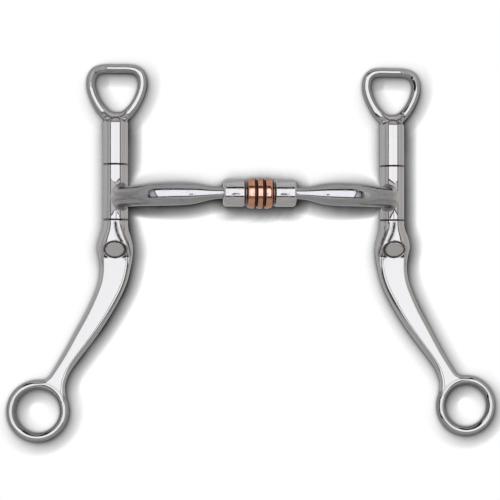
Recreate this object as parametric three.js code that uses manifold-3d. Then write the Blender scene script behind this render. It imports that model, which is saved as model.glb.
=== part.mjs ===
// Curb bit with swivelling cheeks, a two-piece mouthpiece and a three-ring copper roller.
// Millimetres, +Z up the cheeks, +X to the right as seen from the front, +Y to the back.
// Origin: the centre of the bounding box, on the middle plane between the two cheeks.
// Pieces are laid out with the cheek axes at Y = 0 and Z = 0 inside the sleeves, then moved.
// Paired pieces are built on the +X side ("right") and mirrored to the -X side ("left").
import * as THREE from 'three';
import * as BufferGeometryUtils from 'three/addons/utils/BufferGeometryUtils.js';
import Module from 'manifold-3d';

const wasm = await Module();
wasm.setup();

// ---------------------------------------------------------------- shared dimensions
const CENTRE_SHIFT_Y = 10.47; // from the layout to the centred bounding box
const CENTRE_SHIFT_Z = 29.45;
const WELD_TOLERANCE = 1e-4;

const CHEEK_X = 69.7; // cheek axis to the middle plane
const CHEEK_SEGMENTS = 28;
const SHAFT_R = 6.1; // round shafts and sleeve
const SLEEVE_TOP = 14.0;
const SLEEVE_BOTTOM = -13.0;
const JOINT_GAP = 0.3; // visible joint line between sleeve and cheek
const OVERCUT = 5; // how far bores run past open ends

const SEAT_CLEARANCE = 0.06; // radial, where a rod is held
const SPINDLE_R = 3.5;
const SPINDLE_TOP = 31;
const SPINDLE_BOTTOM = -21;
const SPINDLE_SEAT_R = SPINDLE_R + SEAT_CLEARANCE; // blind holes in loop and shank
const SLEEVE_BORE_R = SPINDLE_R + 0.12;

const BAR_SIDES = 12; // section of the loop's and the rein ring's bars

// axis of the centre link, parallel to X; the mouthpiece bows forward to it
const LINK_Y = -20.0;
const LINK_Z = -0.7;
const NECK_R = 2.7; // thin inner end of each cannon
const NECK_END_X = 11.0;

// ---------------------------------------------------------------- solids
function flipTriangles(index) {
  for (let i = 0; i < index.length; i += 3) {
    [index[i + 1], index[i + 2]] = [index[i + 2], index[i + 1]];
  }
}

// welds a closed geometry into a solid, turned right side out if its faces point inward
function toSolid(geometry) {
  const bare = geometry.clone();
  bare.deleteAttribute('normal');
  bare.deleteAttribute('uv');
  const welded = BufferGeometryUtils.mergeVertices(bare, WELD_TOLERANCE);
  const source = welded.index.array;
  const triangles = [];
  for (let i = 0; i < source.length; i += 3) {
    const [a, b, c] = [source[i], source[i + 1], source[i + 2]];
    if (a !== b && b !== c && a !== c) triangles.push(a, b, c);
  }
  const build = () => new wasm.Manifold(new wasm.Mesh({
    numProp: 3,
    vertProperties: new Float32Array(welded.attributes.position.array),
    triVerts: new Uint32Array(triangles),
  }));
  const solid = build();
  if (solid.volume() > 0) return solid;
  flipTriangles(triangles);
  return build();
}

function toGeometry(solid) {
  const mesh = solid.getMesh();
  const positions = new Float32Array(mesh.vertProperties);
  const geometry = new THREE.BufferGeometry();
  geometry.setAttribute('position', new THREE.BufferAttribute(positions, 3));
  geometry.setIndex(new THREE.BufferAttribute(new Uint32Array(mesh.triVerts), 1));
  geometry.computeVertexNormals();
  return geometry;
}

function mirrored(geometry) {
  const mirror = geometry.clone();
  mirror.scale(-1, 1, 1);
  flipTriangles(mirror.index.array);
  mirror.computeVertexNormals();
  return mirror;
}

const vectors = (pairs) => pairs.map(([x, y]) => new THREE.Vector2(x, y));
const shapeOf = (pairs) => new THREE.Shape(vectors(pairs));

function cheekCylinder(radius, bottom, top) {
  const geometry = new THREE.CylinderGeometry(radius, radius, top - bottom, CHEEK_SEGMENTS);
  geometry.rotateX(Math.PI / 2);
  geometry.translate(CHEEK_X, 0, (bottom + top) / 2);
  return toSolid(geometry);
}

// geometry turned about the Z axis from [r, z] points
function zTurned(profile) {
  const geometry = new THREE.LatheGeometry(vectors(profile), CHEEK_SEGMENTS);
  geometry.rotateX(Math.PI / 2);
  return geometry;
}

// plate from a [u, z] outline, u outward from the cheek axis; it is extruded forward from
// startY, and a bevel stands out beyond both ends of the depth
function cheekPlate(outline, startY, options) {
  const geometry = new THREE.ExtrudeGeometry(shapeOf(outline), options);
  geometry.rotateX(Math.PI / 2);
  geometry.translate(CHEEK_X, startY, 0);
  return toSolid(geometry);
}

// regular bar section with a flat facing each end of its first axis
function barSection(flatR, centre = 0) {
  const cornerR = flatR / Math.cos(Math.PI / BAR_SIDES);
  return Array.from({ length: BAR_SIDES }, (_, i) => {
    const angle = ((i + 0.5) / BAR_SIDES) * Math.PI * 2;
    return [centre + cornerR * Math.cos(angle), cornerR * Math.sin(angle)];
  });
}

// cuts a [y, z] profile, extruded along X, from the front and back of a solid
function cutBothFaces(solid, profile, startX, length) {
  let result = solid;
  for (const side of [-1, 1]) {
    const cutter = new THREE.ExtrudeGeometry(shapeOf(profile), {
      depth: length, bevelEnabled: false,
    });
    const position = cutter.attributes.position;
    for (let i = 0; i < position.count; i++) {
      const [y, z, x] = [position.getX(i), position.getY(i), position.getZ(i)];
      position.setXYZ(i, startX + x, side * y, z);
    }
    result = result.subtract(toSolid(cutter));
  }
  return result;
}

// ---------------------------------------------------------------- bridle loop
const LOOP_FLAT_R = 2.04; // centre of the bar to its flats
const LOOP_STEPS = 30;
const LOOP_TOP_Z = 61.8; // centre line of the straight top bar
const TOP_BAR_INNER = [-6.5, LOOP_TOP_Z];
const TOP_BAR_OUTER = [5.9, LOOP_TOP_Z];
// the curved run overlaps the top bar from these points
const CURVE_START = [4.6, LOOP_TOP_Z];
const CURVE_END = [-5.6, LOOP_TOP_Z];
// centre line of the curved run, from the outer end of the top bar down and round: [u, z]
const LOOP_LINE = [
  [9.9, 60.5], [11.85, 57.5], [12.25, 53.8], [11.4, 49.6], [9.4, 45.1], [6.5, 41.1],
  [3.4, 38.5], [-0.4, 37.7], [-4.2, 38.5], [-7.4, 41.3], [-10.2, 45.3], [-12.3, 49.9],
  [-13.25, 54.4], [-12.5, 58.6], [-10.1, 61.2],
];

const LOOP_SHAFT_TOP = 35.5; // start of the shaft's domed end
// outline: [r, z]
const LOOP_SHAFT = [
  [0, SLEEVE_TOP + JOINT_GAP], [SHAFT_R, SLEEVE_TOP + JOINT_GAP], [SHAFT_R, 33.6], [5.9, 35.0],
  [5.0, LOOP_SHAFT_TOP + 1.2], [2.6, LOOP_SHAFT_TOP + 2.6], [0, LOOP_SHAFT_TOP + 3.0],
];

const WEB_T = 3.2;
// web that fills the crotch between shaft and loop: [u, z]
const WEB = [
  [-5.9, 33.5], [5.9, 33.5], [8.6, 41.4], [6.0, 40.6], [2.4, 38.9], [-0.8, 38.3],
  [-4.0, 38.9], [-7.4, 40.9], [-10.0, 41.8],
];

const loopPoint = ([u, z]) => new THREE.Vector3(CHEEK_X + u, 0, z);

function loopBar(path, steps) {
  const section = shapeOf(barSection(LOOP_FLAT_R));
  section.closePath();
  return toSolid(new THREE.ExtrudeGeometry(section, {
    steps, bevelEnabled: false, extrudePath: path,
  }));
}

function bridleLoop() {
  // the straight bar is its own extrusion so that its inner flat is exact
  const topPath = new THREE.LineCurve3(loopPoint(TOP_BAR_INNER), loopPoint(TOP_BAR_OUTER));
  const curvePoints = [CURVE_START, TOP_BAR_OUTER, ...LOOP_LINE, TOP_BAR_INNER, CURVE_END];
  const curvePath = new THREE.CatmullRomCurve3(
    curvePoints.map(loopPoint), false, 'centripetal',
  );
  const shaft = zTurned(LOOP_SHAFT);
  shaft.translate(CHEEK_X, 0, 0);
  const web = cheekPlate(WEB, WEB_T / 2, { depth: WEB_T, bevelEnabled: false });
  const solid = loopBar(curvePath, LOOP_STEPS)
    .add(loopBar(topPath, 1))
    .add(toSolid(shaft))
    .add(web)
    .subtract(cheekCylinder(SPINDLE_SEAT_R, SLEEVE_TOP - OVERCUT, SPINDLE_TOP));
  return toGeometry(solid);
}

// ---------------------------------------------------------------- shank
const BLADE_HALF_T = 3.0;
const BLADE_BEVEL = 1.1;
// blade outline: [z, inner u, outer u]
const BLADE = [
  [-29.5, -7.2, 7.2], [-33.4, -7.6, 7.5], [-38.4, -7.0, 7.5], [-43.4, -6.0, 8.2],
  [-48.4, -4.0, 9.9], [-53.4, -1.6, 12.0], [-58.4, 1.2, 14.4], [-63.4, 4.3, 17.1],
  [-68.4, 7.6, 19.8], [-73.4, 11.2, 22.5], [-78.4, 14.9, 25.3], [-83.4, 18.7, 28.3],
  [-88.4, 22.3, 31.5], [-91.2, 24.1, 33.9],
];
// foot of the blade, spreading onto the rein ring's bar: [u, z]
const BLADE_FOOT = [
  [24.6, -95.2], [25.3, -99.2], [27.2, -99.9], [28.8, -98.1], [31.2, -96.4],
  [33.4, -95.4], [35.3, -92.9],
];

// material cut away where the foot thins down to the ring's bar: [y, z]
const FOOT_HALF_T = 2.15;
const FOOT_CUT_TOP = -86;
const FOOT_CUT_BOTTOM = -110;
const FOOT_CUT = [
  [BLADE_HALF_T, FOOT_CUT_TOP], [FOOT_HALF_T, -95], [FOOT_HALF_T, FOOT_CUT_BOTTOM],
  [20, FOOT_CUT_BOTTOM], [20, FOOT_CUT_TOP],
];

// outline of the round shaft and bulge: [r across X, z]
const BULGE_START = SLEEVE_BOTTOM - JOINT_GAP;
const BULGE = [
  [0, BULGE_START], [SHAFT_R, BULGE_START], [6.2, -17.2], [6.8, -19.2], [7.7, -21.3],
  [8.5, -23.6], [8.8, -26.3], [8.7, -28.9], [8.2, -31.5], [7.3, -34.0], [5.4, -36.2],
  [2.6, -37.4], [0, -37.8],
];
const BULGE_HALF_DEPTH = 6.3; // radius beyond which the bulge is flattened front to back
const FLATTENING = 0.12; // share of the radius beyond that kept in depth

// material cut away outside the sloped facets, from the bulge down to the blade: [y, z]
const FACET_TOP_Z = -24.2;
const FACET_BOTTOM_Z = -31.9;
const FACET_SLOPE = (BULGE_HALF_DEPTH - BLADE_HALF_T) / (FACET_TOP_Z - FACET_BOTTOM_Z);
const FACET_RISE = 16; // height of the cut above the facet's bottom
const FACET_CUT_BOTTOM = -45;
const FACET_CUT = [
  [BLADE_HALF_T, FACET_CUT_BOTTOM], [BLADE_HALF_T, FACET_BOTTOM_Z],
  [BLADE_HALF_T + FACET_SLOPE * FACET_RISE, FACET_BOTTOM_Z + FACET_RISE],
  [30, FACET_BOTTOM_Z + FACET_RISE], [30, FACET_CUT_BOTTOM],
];

const RING_X = CHEEK_X + 38.3; // rein ring centre
const RING_Z = -107.6;
const RING_MAJOR_R = 13.05;
const RING_FLAT_R = 2.13; // centre of the bar to its flats
const RING_SEGMENTS = 40;
const RING_HOLE_R = RING_MAJOR_R - 0.6; // clears the blade's foot out of the ring
const RING_HOLE_SEGMENTS = 32;

function bulge() {
  const body = zTurned(BULGE);
  const position = body.attributes.position;
  for (let i = 0; i < position.count; i++) {
    const radius = Math.hypot(position.getX(i), position.getY(i));
    if (radius > BULGE_HALF_DEPTH) {
      const depth = BULGE_HALF_DEPTH + (radius - BULGE_HALF_DEPTH) * FLATTENING;
      position.setY(i, (position.getY(i) / radius) * depth);
    }
  }
  body.translate(CHEEK_X, 0, 0);
  return cutBothFaces(toSolid(body), FACET_CUT, CHEEK_X - 20, 40);
}

function blade() {
  const innerEdge = BLADE.map(([z, inner]) => [inner, z]);
  const outerEdge = BLADE.map(([z, , outer]) => [outer, z]).reverse();
  const halfCore = BLADE_HALF_T - BLADE_BEVEL;
  const plate = cheekPlate([...innerEdge, ...BLADE_FOOT, ...outerEdge], halfCore, {
    depth: 2 * BLADE_HALF_T - 2 * BLADE_BEVEL,
    bevelEnabled: true,
    bevelThickness: BLADE_BEVEL,
    bevelSize: BLADE_BEVEL,
    bevelOffset: -BLADE_BEVEL,
    bevelSegments: 2,
    curveSegments: 1,
  });
  const hole = new THREE.CylinderGeometry(RING_HOLE_R, RING_HOLE_R, 20, RING_HOLE_SEGMENTS);
  hole.translate(RING_X, 0, RING_Z);
  return cutBothFaces(plate.subtract(toSolid(hole)), FOOT_CUT, CHEEK_X - 10, 80);
}

// twelve-sided bar with one flat facing the ring's centre
function reinRing() {
  const section = barSection(RING_FLAT_R, RING_MAJOR_R);
  const ring = new THREE.LatheGeometry(vectors([...section, section[0]]), RING_SEGMENTS);
  // half a segment's turn puts the middle of one segment at the very bottom
  ring.rotateY(Math.PI / RING_SEGMENTS);
  ring.translate(RING_X, 0, RING_Z);
  return toSolid(ring);
}

function shank() {
  const seat = cheekCylinder(SPINDLE_SEAT_R, SPINDLE_BOTTOM, SLEEVE_BOTTOM + OVERCUT);
  return toGeometry(bulge().add(blade()).add(reinRing()).subtract(seat));
}

// ---------------------------------------------------------------- spindle and sleeve
function spindle() {
  return toGeometry(cheekCylinder(SPINDLE_R, SPINDLE_BOTTOM, SPINDLE_TOP));
}

function sleeve() {
  const bore = cheekCylinder(SLEEVE_BORE_R, SLEEVE_BOTTOM - OVERCUT, SLEEVE_TOP + OVERCUT);
  return toGeometry(cheekCylinder(SHAFT_R, SLEEVE_BOTTOM, SLEEVE_TOP).subtract(bore));
}

// ---------------------------------------------------------------- cannon
const CANNON_SEGMENTS = 20;
const SADDLE_R = SHAFT_R + 0.25; // hollow in the outer end, around the sleeve
const SADDLE_HALF_H = 30;
// stations from the sleeve to the end of the neck: [x, y, z, radius]
const CANNON = [
  [71.6, -2.6, -2.1, 4.9], [68.0, -4.9, -2.1, 4.9], [64.5, -7.3, -2.0, 4.9],
  [61.0, -9.8, -1.85, 5.0], [57.5, -12.3, -1.65, 5.15], [54.2, -14.4, -1.45, 5.35],
  [50.8, -16.0, -1.3, 5.5], [47.0, -17.1, -1.2, 5.58], [43.0, -17.85, -1.12, 5.6],
  [38.6, -18.5, -1.05, 5.55], [34.0, -19.05, -1.0, 5.3], [31.4, -19.3, -0.95, 5.0],
  [29.0, -19.5, -0.9, 4.45], [26.5, -19.7, -0.85, 3.85], [24.2, -19.85, -0.8, 3.35],
  [21.8, -19.95, -0.75, 2.98], [19.4, LINK_Y, LINK_Z, 2.78], [17.0, LINK_Y, LINK_Z, NECK_R],
  [NECK_END_X, LINK_Y, LINK_Z, NECK_R],
];

// position and cross axes of the centre line at a distance along it
function cannonFrame(centres, lengths, distance) {
  const last = centres.length - 1;
  const at = (i) => centres[Math.min(Math.max(i, 0), last)];
  let k = 0;
  while (k + 1 < last && lengths[k + 1] <= distance) k++;
  const t = (distance - lengths[k]) / (lengths[k + 1] - lengths[k]);
  const centre = centres[k].clone().lerp(centres[k + 1], t);
  const nextDirection = at(k + 2).clone().sub(at(k));
  const direction = at(k + 1).clone().sub(at(k - 1)).lerp(nextDirection, t).normalize();
  // the last two spans, on the link's axis, run straight inward
  if (k >= last - 2) direction.set(-1, 0, 0);
  const side = new THREE.Vector3(0, 0, 1).cross(direction).normalize();
  const up = new THREE.Vector3().crossVectors(direction, side).normalize();
  return { centre, side, up };
}

function cannon() {
  const centres = CANNON.map(([x, y, z]) => new THREE.Vector3(x, y, z));
  const lengths = [0];
  for (let i = 1; i < centres.length; i++) {
    lengths.push(lengths[i - 1] + centres[i].distanceTo(centres[i - 1]));
  }
  const total = lengths[lengths.length - 1];
  const startR = CANNON[0][3];
  // [radius, distance along the centre line], with a rounded outer end
  const profile = [
    [0, 0], [startR * 0.62, 0.01], [startR * 0.9, 0.9],
    ...CANNON.slice(1).map(([, , , radius], i) => [radius, lengths[i + 1]]),
    [0, total],
  ];
  const geometry = new THREE.LatheGeometry(vectors(profile), CANNON_SEGMENTS);
  // bend the straight body of revolution onto the centre line
  const position = geometry.attributes.position;
  for (let i = 0; i < position.count; i++) {
    const distance = Math.min(Math.max(position.getY(i), 0), total);
    const { centre, side, up } = cannonFrame(centres, lengths, distance);
    centre.addScaledVector(side, position.getX(i)).addScaledVector(up, position.getZ(i));
    position.setXYZ(i, centre.x, centre.y, centre.z);
  }
  const saddle = cheekCylinder(SADDLE_R, -SADDLE_HALF_H, SADDLE_HALF_H);
  return toGeometry(toSolid(geometry).subtract(saddle));
}

// ---------------------------------------------------------------- centre link
const LINK_SEGMENTS = 24;
const COPPER_SEGMENTS = 28;

const BUTTON_IN_X = 10.4;
const BUTTON_OUT_X = 15.0;
const BUTTON_R = 4.55;
const BUTTON_CHAMFER = 0.6;
const SOCKET_R = NECK_R + 0.3; // socket in the button for the neck's end
const SOCKET_END_X = NECK_END_X - 0.25;

const BUTTON_CLEARANCE = 0.4; // between the button and the collar's cavity
const COLLAR_IN_X = 7.45;
const COLLAR_OUT_X = 17.6;
const COLLAR_R = 6.5;
const COLLAR_CAVITY_R = BUTTON_R + BUTTON_CLEARANCE;
const COLLAR_WALL_X = BUTTON_OUT_X + BUTTON_CLEARANCE; // inner face of the end wall
const NECK_BORE_R = NECK_R + 0.25;

const AXLE_R = 3.2;
const AXLE_HALF_L = 9.6;
const AXLE_CHAMFER = 0.4;
const PLUG_IN_X = 7.75;
const PLUG_OUT_X = 9.9;
const PLUG_R = COLLAR_CAVITY_R - 0.1;
const PLUG_BORE_R = AXLE_R + SEAT_CLEARANCE;

const RING_BORE_R = AXLE_R + 0.15; // copper rings, spacers and washers
const FLANGE_IN_X = 6.45;
const FLANGE_OUT_X = 7.1;
const FLANGE_R = 6.05;
const FLANGE_CHAMFER = 0.15;

const ROLLER_PLAY = 0.12; // side gap between a spacer and the copper ring beside it
const COPPER_MID_HALF_W = 1.3;
const COPPER_MID_R = 7.5;
const COPPER_IN_X = 2.65;
const COPPER_OUT_X = 6.15;
const SPACER_IN_X = COPPER_MID_HALF_W + ROLLER_PLAY;
const SPACER_OUT_X = COPPER_IN_X - ROLLER_PLAY;
const SPACER_R = 6.6;

// a piece turned about the link's axis, from [x, r] points
function linkTurned(points, segments = LINK_SEGMENTS) {
  const profile = vectors(points.map(([x, r]) => [r, x]));
  const geometry = new THREE.LatheGeometry(profile, segments);
  geometry.rotateZ(-Math.PI / 2);
  geometry.translate(0, LINK_Y, LINK_Z);
  return toGeometry(toSolid(geometry));
}

// a turned piece with a hole through it, from its closed outline
function linkRing(points, segments) {
  return linkTurned([...points, points[0]], segments);
}

function plainRing(inX, outX, boreR, outerR) {
  return linkRing([[inX, boreR], [inX, outerR], [outX, outerR], [outX, boreR]]);
}

function neckButton() {
  return linkTurned([
    [BUTTON_IN_X, 0], [BUTTON_IN_X, BUTTON_R - BUTTON_CHAMFER],
    [BUTTON_IN_X + BUTTON_CHAMFER, BUTTON_R], [BUTTON_OUT_X, BUTTON_R],
    [BUTTON_OUT_X, SOCKET_R], [SOCKET_END_X, SOCKET_R], [SOCKET_END_X, 0],
  ]);
}

function collar() {
  return linkRing([
    [COLLAR_IN_X, COLLAR_CAVITY_R], [COLLAR_IN_X, 6.0], [COLLAR_IN_X + 0.6, COLLAR_R],
    [15.0, COLLAR_R], [16.9, 6.0], [COLLAR_OUT_X, 5.0], [COLLAR_OUT_X, NECK_BORE_R],
    [COLLAR_WALL_X, NECK_BORE_R], [COLLAR_WALL_X, COLLAR_CAVITY_R],
  ]);
}

function axlePlug() {
  return plainRing(PLUG_IN_X, PLUG_OUT_X, PLUG_BORE_R, PLUG_R);
}

function flangeWasher() {
  const shoulderR = FLANGE_R - FLANGE_CHAMFER;
  return linkRing([
    [FLANGE_IN_X, RING_BORE_R], [FLANGE_IN_X, shoulderR],
    [FLANGE_IN_X + FLANGE_CHAMFER, FLANGE_R], [FLANGE_OUT_X - FLANGE_CHAMFER, FLANGE_R],
    [FLANGE_OUT_X, shoulderR], [FLANGE_OUT_X, RING_BORE_R],
  ]);
}

function ringSpacer() {
  return plainRing(SPACER_IN_X, SPACER_OUT_X, RING_BORE_R, SPACER_R);
}

function rollerAxle() {
  const endR = AXLE_R - AXLE_CHAMFER;
  const chamferX = AXLE_HALF_L - AXLE_CHAMFER;
  return linkTurned([
    [-AXLE_HALF_L, 0], [-AXLE_HALF_L, endR], [-chamferX, AXLE_R],
    [chamferX, AXLE_R], [AXLE_HALF_L, endR], [AXLE_HALF_L, 0],
  ]);
}

function outerCopperRing() {
  return linkRing([
    [COPPER_IN_X, RING_BORE_R], [COPPER_IN_X, 7.05], [3.05, 7.38], [4.4, 7.28],
    [5.6, 6.85], [COPPER_OUT_X, 6.2], [COPPER_OUT_X, RING_BORE_R],
  ], COPPER_SEGMENTS);
}

function centreCopperRing() {
  const crownR = COPPER_MID_R - 0.06;
  return linkRing([
    [-COPPER_MID_HALF_W, RING_BORE_R], [-COPPER_MID_HALF_W, 7.15], [-0.9, crownR],
    [0, COPPER_MID_R], [0.9, crownR], [COPPER_MID_HALF_W, 7.15],
    [COPPER_MID_HALF_W, RING_BORE_R],
  ], COPPER_SEGMENTS);
}

// ---------------------------------------------------------------- materials
const metal = (settings) => () => new THREE.MeshStandardMaterial(settings);
const steel = metal({ color: 0xc9c8cb, roughness: 0.12, metalness: 1.0 });
const pinSteel = metal({ color: 0x9a9a9c, roughness: 0.35, metalness: 1.0 });
const iron = metal({ color: 0x82848a, roughness: 0.3, metalness: 0.9 });
const copper = metal({ color: 0xb97d5f, roughness: 0.25, metalness: 1.0 });

// ---------------------------------------------------------------- assembly
const bit = new THREE.Group();

function place(name, geometry, material) {
  const centred = geometry.clone().translate(0, CENTRE_SHIFT_Y, CENTRE_SHIFT_Z);
  const mesh = new THREE.Mesh(centred, material());
  mesh.name = name;
  bit.add(mesh);
}

function placePair(name, geometry, material) {
  place(`right_${name}`, geometry, material);
  place(`left_${name}`, mirrored(geometry), material);
}

placePair('bridle_loop', bridleLoop(), steel);
placePair('shank', shank(), steel);
placePair('cheek_spindle', spindle(), pinSteel);
placePair('cheek_sleeve', sleeve(), steel);
placePair('cannon', cannon(), iron);
placePair('neck_button', neckButton(), iron);
placePair('collar', collar(), steel);
placePair('axle_plug', axlePlug(), pinSteel);
placePair('flange_washer', flangeWasher(), steel);
placePair('ring_spacer', ringSpacer(), pinSteel);
placePair('copper_ring', outerCopperRing(), copper);
place('centre_copper_ring', centreCopperRing(), copper);
place('roller_axle', rollerAxle(), pinSteel);

export default bit;
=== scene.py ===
import math

import bpy
import numpy as np
from mathutils import Matrix, Vector


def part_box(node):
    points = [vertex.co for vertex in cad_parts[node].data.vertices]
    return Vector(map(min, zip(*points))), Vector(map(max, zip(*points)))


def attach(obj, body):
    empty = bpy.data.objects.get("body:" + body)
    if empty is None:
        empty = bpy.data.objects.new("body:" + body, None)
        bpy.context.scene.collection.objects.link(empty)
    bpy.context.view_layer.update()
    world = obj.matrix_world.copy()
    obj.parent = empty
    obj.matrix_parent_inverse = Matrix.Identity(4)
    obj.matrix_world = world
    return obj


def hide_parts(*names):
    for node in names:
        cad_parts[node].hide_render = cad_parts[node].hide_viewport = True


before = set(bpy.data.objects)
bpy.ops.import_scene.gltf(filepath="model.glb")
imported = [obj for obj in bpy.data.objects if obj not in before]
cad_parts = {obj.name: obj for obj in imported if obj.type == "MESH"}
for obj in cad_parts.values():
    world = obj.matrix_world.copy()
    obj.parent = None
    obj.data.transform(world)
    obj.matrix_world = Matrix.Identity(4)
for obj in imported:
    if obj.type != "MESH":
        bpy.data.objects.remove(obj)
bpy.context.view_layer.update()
MM = 0.001


# =====================================================================================================
# places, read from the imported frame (all working sizes below are millimetres)
# =====================================================================================================
# Layout coordinates: the cheek axes at y = 0 and the mouthpiece's axis at z = 0. ORIGIN takes them to the row frame.
_lo, _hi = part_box("right_cheek_sleeve")
ORIGIN = np.array([0.0, (_lo[1] + _hi[1]) / 2 / MM, _lo[2] / MM + 13.0])


def mm_box(node):
    lo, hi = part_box(node)
    return np.array(lo) / MM - ORIGIN, np.array(hi) / MM - ORIGIN


def at(x, y, z):
    """A layout place in mm, as a row frame place in metres."""
    return Vector(((x + ORIGIN[0]) * MM, (y + ORIGIN[1]) * MM, (z + ORIGIN[2]) * MM))


SL_LO, SL_HI = mm_box("right_cheek_sleeve")
CX = (SL_LO[0] + SL_HI[0]) / 2            # cheek axis
SHAFT_R = (SL_HI[0] - SL_LO[0]) / 2
SLEEVE_Z0, SLEEVE_Z1 = SL_LO[2], SL_HI[2]
LOOP_LO, LOOP_HI = mm_box("right_bridle_loop")
SHANK_LO, SHANK_HI = mm_box("right_shank")
PIN_LO, PIN_HI = mm_box("right_cheek_spindle")
PIN_R = (PIN_HI[0] - PIN_LO[0]) / 2
COL_LO, COL_HI = mm_box("right_collar")
LINK_Y = (COL_LO[1] + COL_HI[1]) / 2
LINK_Z = (COL_LO[2] + COL_HI[2]) / 2
COL_R = (COL_HI[2] - COL_LO[2]) / 2
BUT_LO, BUT_HI = mm_box("right_neck_button")
PLUG_LO, PLUG_HI = mm_box("right_axle_plug")
FLG_LO, FLG_HI = mm_box("right_flange_washer")
SPC_LO, SPC_HI = mm_box("right_ring_spacer")
CRO_LO, CRO_HI = mm_box("right_copper_ring")
CRC_LO, CRC_HI = mm_box("centre_copper_ring")
AXL_LO, AXL_HI = mm_box("roller_axle")
CAN_LO, CAN_HI = mm_box("right_cannon")

RING_MINOR = 2.15
RING_MAJOR = 13.05
RING_U = SHANK_HI[0] - CX - (RING_MAJOR + RING_MINOR)
RING_Z = SHANK_LO[2] + (RING_MAJOR + RING_MINOR)


# =====================================================================================================
# mesh tools
# =====================================================================================================
def make_object(name, verts_mm, faces, normals=None):
    """faces: (n, 4) or (n, 3) int array, or a list of such arrays."""
    if not isinstance(faces, list):
        faces = [faces]
    mesh = bpy.data.meshes.new(name)
    verts = (np.asarray(verts_mm, np.float64) + ORIGIN) * MM
    mesh.vertices.add(len(verts))
    mesh.vertices.foreach_set("co", verts.astype(np.float32).ravel())
    loops = np.concatenate([f.ravel() for f in faces]).astype(np.int32)
    totals = np.concatenate([np.full(len(f), f.shape[1], np.int32) for f in faces])
    starts = np.concatenate([[0], np.cumsum(totals)[:-1]]).astype(np.int32)
    mesh.loops.add(len(loops))
    mesh.loops.foreach_set("vertex_index", loops)
    mesh.polygons.add(len(totals))
    mesh.polygons.foreach_set("loop_start", starts)
    mesh.polygons.foreach_set("loop_total", totals)
    mesh.update(calc_edges=True)
    mesh.validate(verbose=False)
    mesh.polygons.foreach_set("use_smooth", np.ones(len(mesh.polygons), bool))
    if normals is not None and len(mesh.vertices) == len(normals):
        mesh.normals_split_custom_set_from_vertices([tuple(n) for n in normals])
    obj = bpy.data.objects.new(name, mesh)
    bpy.context.scene.collection.objects.link(obj)
    return obj


def mirror_x(verts, faces, normals):
    v = verts.copy()
    v[:, 0] *= -1
    n = None
    if normals is not None:
        n = normals.copy()
        n[:, 0] *= -1
    fl = [f[:, ::-1].copy() for f in (faces if isinstance(faces, list) else [faces])]
    return v, fl, n


def smin(a, b, k):
    h = np.maximum(k - np.abs(a - b), 0.0) / k
    return np.minimum(a, b) - h * h * k * 0.25


def smax(a, b, k):
    h = np.maximum(k - np.abs(a - b), 0.0) / k
    return np.maximum(a, b) + h * h * k * 0.25


def smoothstep(e0, e1, x):
    t = np.clip((x - e0) / (e1 - e0), 0, 1)
    return t * t * (3 - 2 * t)


def field_on_grid(f, lo, hi, h, m=4):
    """Signed values on a grid: exact near the surface, only the sign elsewhere."""
    lo = np.asarray(lo, float)
    hi = np.asarray(hi, float)
    nb = np.ceil((hi - lo) / (h * m)).astype(int)
    axes = [lo[i] + np.arange(nb[i] + 1) * h * m for i in range(3)]
    g = np.stack(np.meshgrid(*axes, indexing="ij"), -1).reshape(-1, 3)
    c = f(g).reshape(nb + 1)
    band = np.abs(c) < m * h * 1.7
    near = np.zeros(nb, bool)
    sign_change = np.zeros(nb, bool)
    first = c[:-1, :-1, :-1] < 0
    for dx in (0, 1):
        for dy in (0, 1):
            for dz in (0, 1):
                sub = (slice(dx, dx + nb[0]), slice(dy, dy + nb[1]), slice(dz, dz + nb[2]))
                near |= band[sub]
                sign_change |= (c[sub] < 0) != first
    near |= sign_change
    shape = nb * m + 1
    out = np.repeat(np.repeat(np.repeat(c[:-1, :-1, :-1], m, 0), m, 1), m, 2)
    out = np.pad(out, ((0, 1), (0, 1), (0, 1)), mode="edge")
    blocks = np.argwhere(near)
    off = np.stack(np.meshgrid(np.arange(m + 1), np.arange(m + 1), np.arange(m + 1), indexing="ij"), -1).reshape(-1, 3)
    step = max(1, 400000 // len(off))
    for s in range(0, len(blocks), step):
        idx = blocks[s:s + step, None, :] * m + off[None]
        idx = idx.reshape(-1, 3)
        out[idx[:, 0], idx[:, 1], idx[:, 2]] = f(lo + idx * h)
    return out, lo


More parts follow.
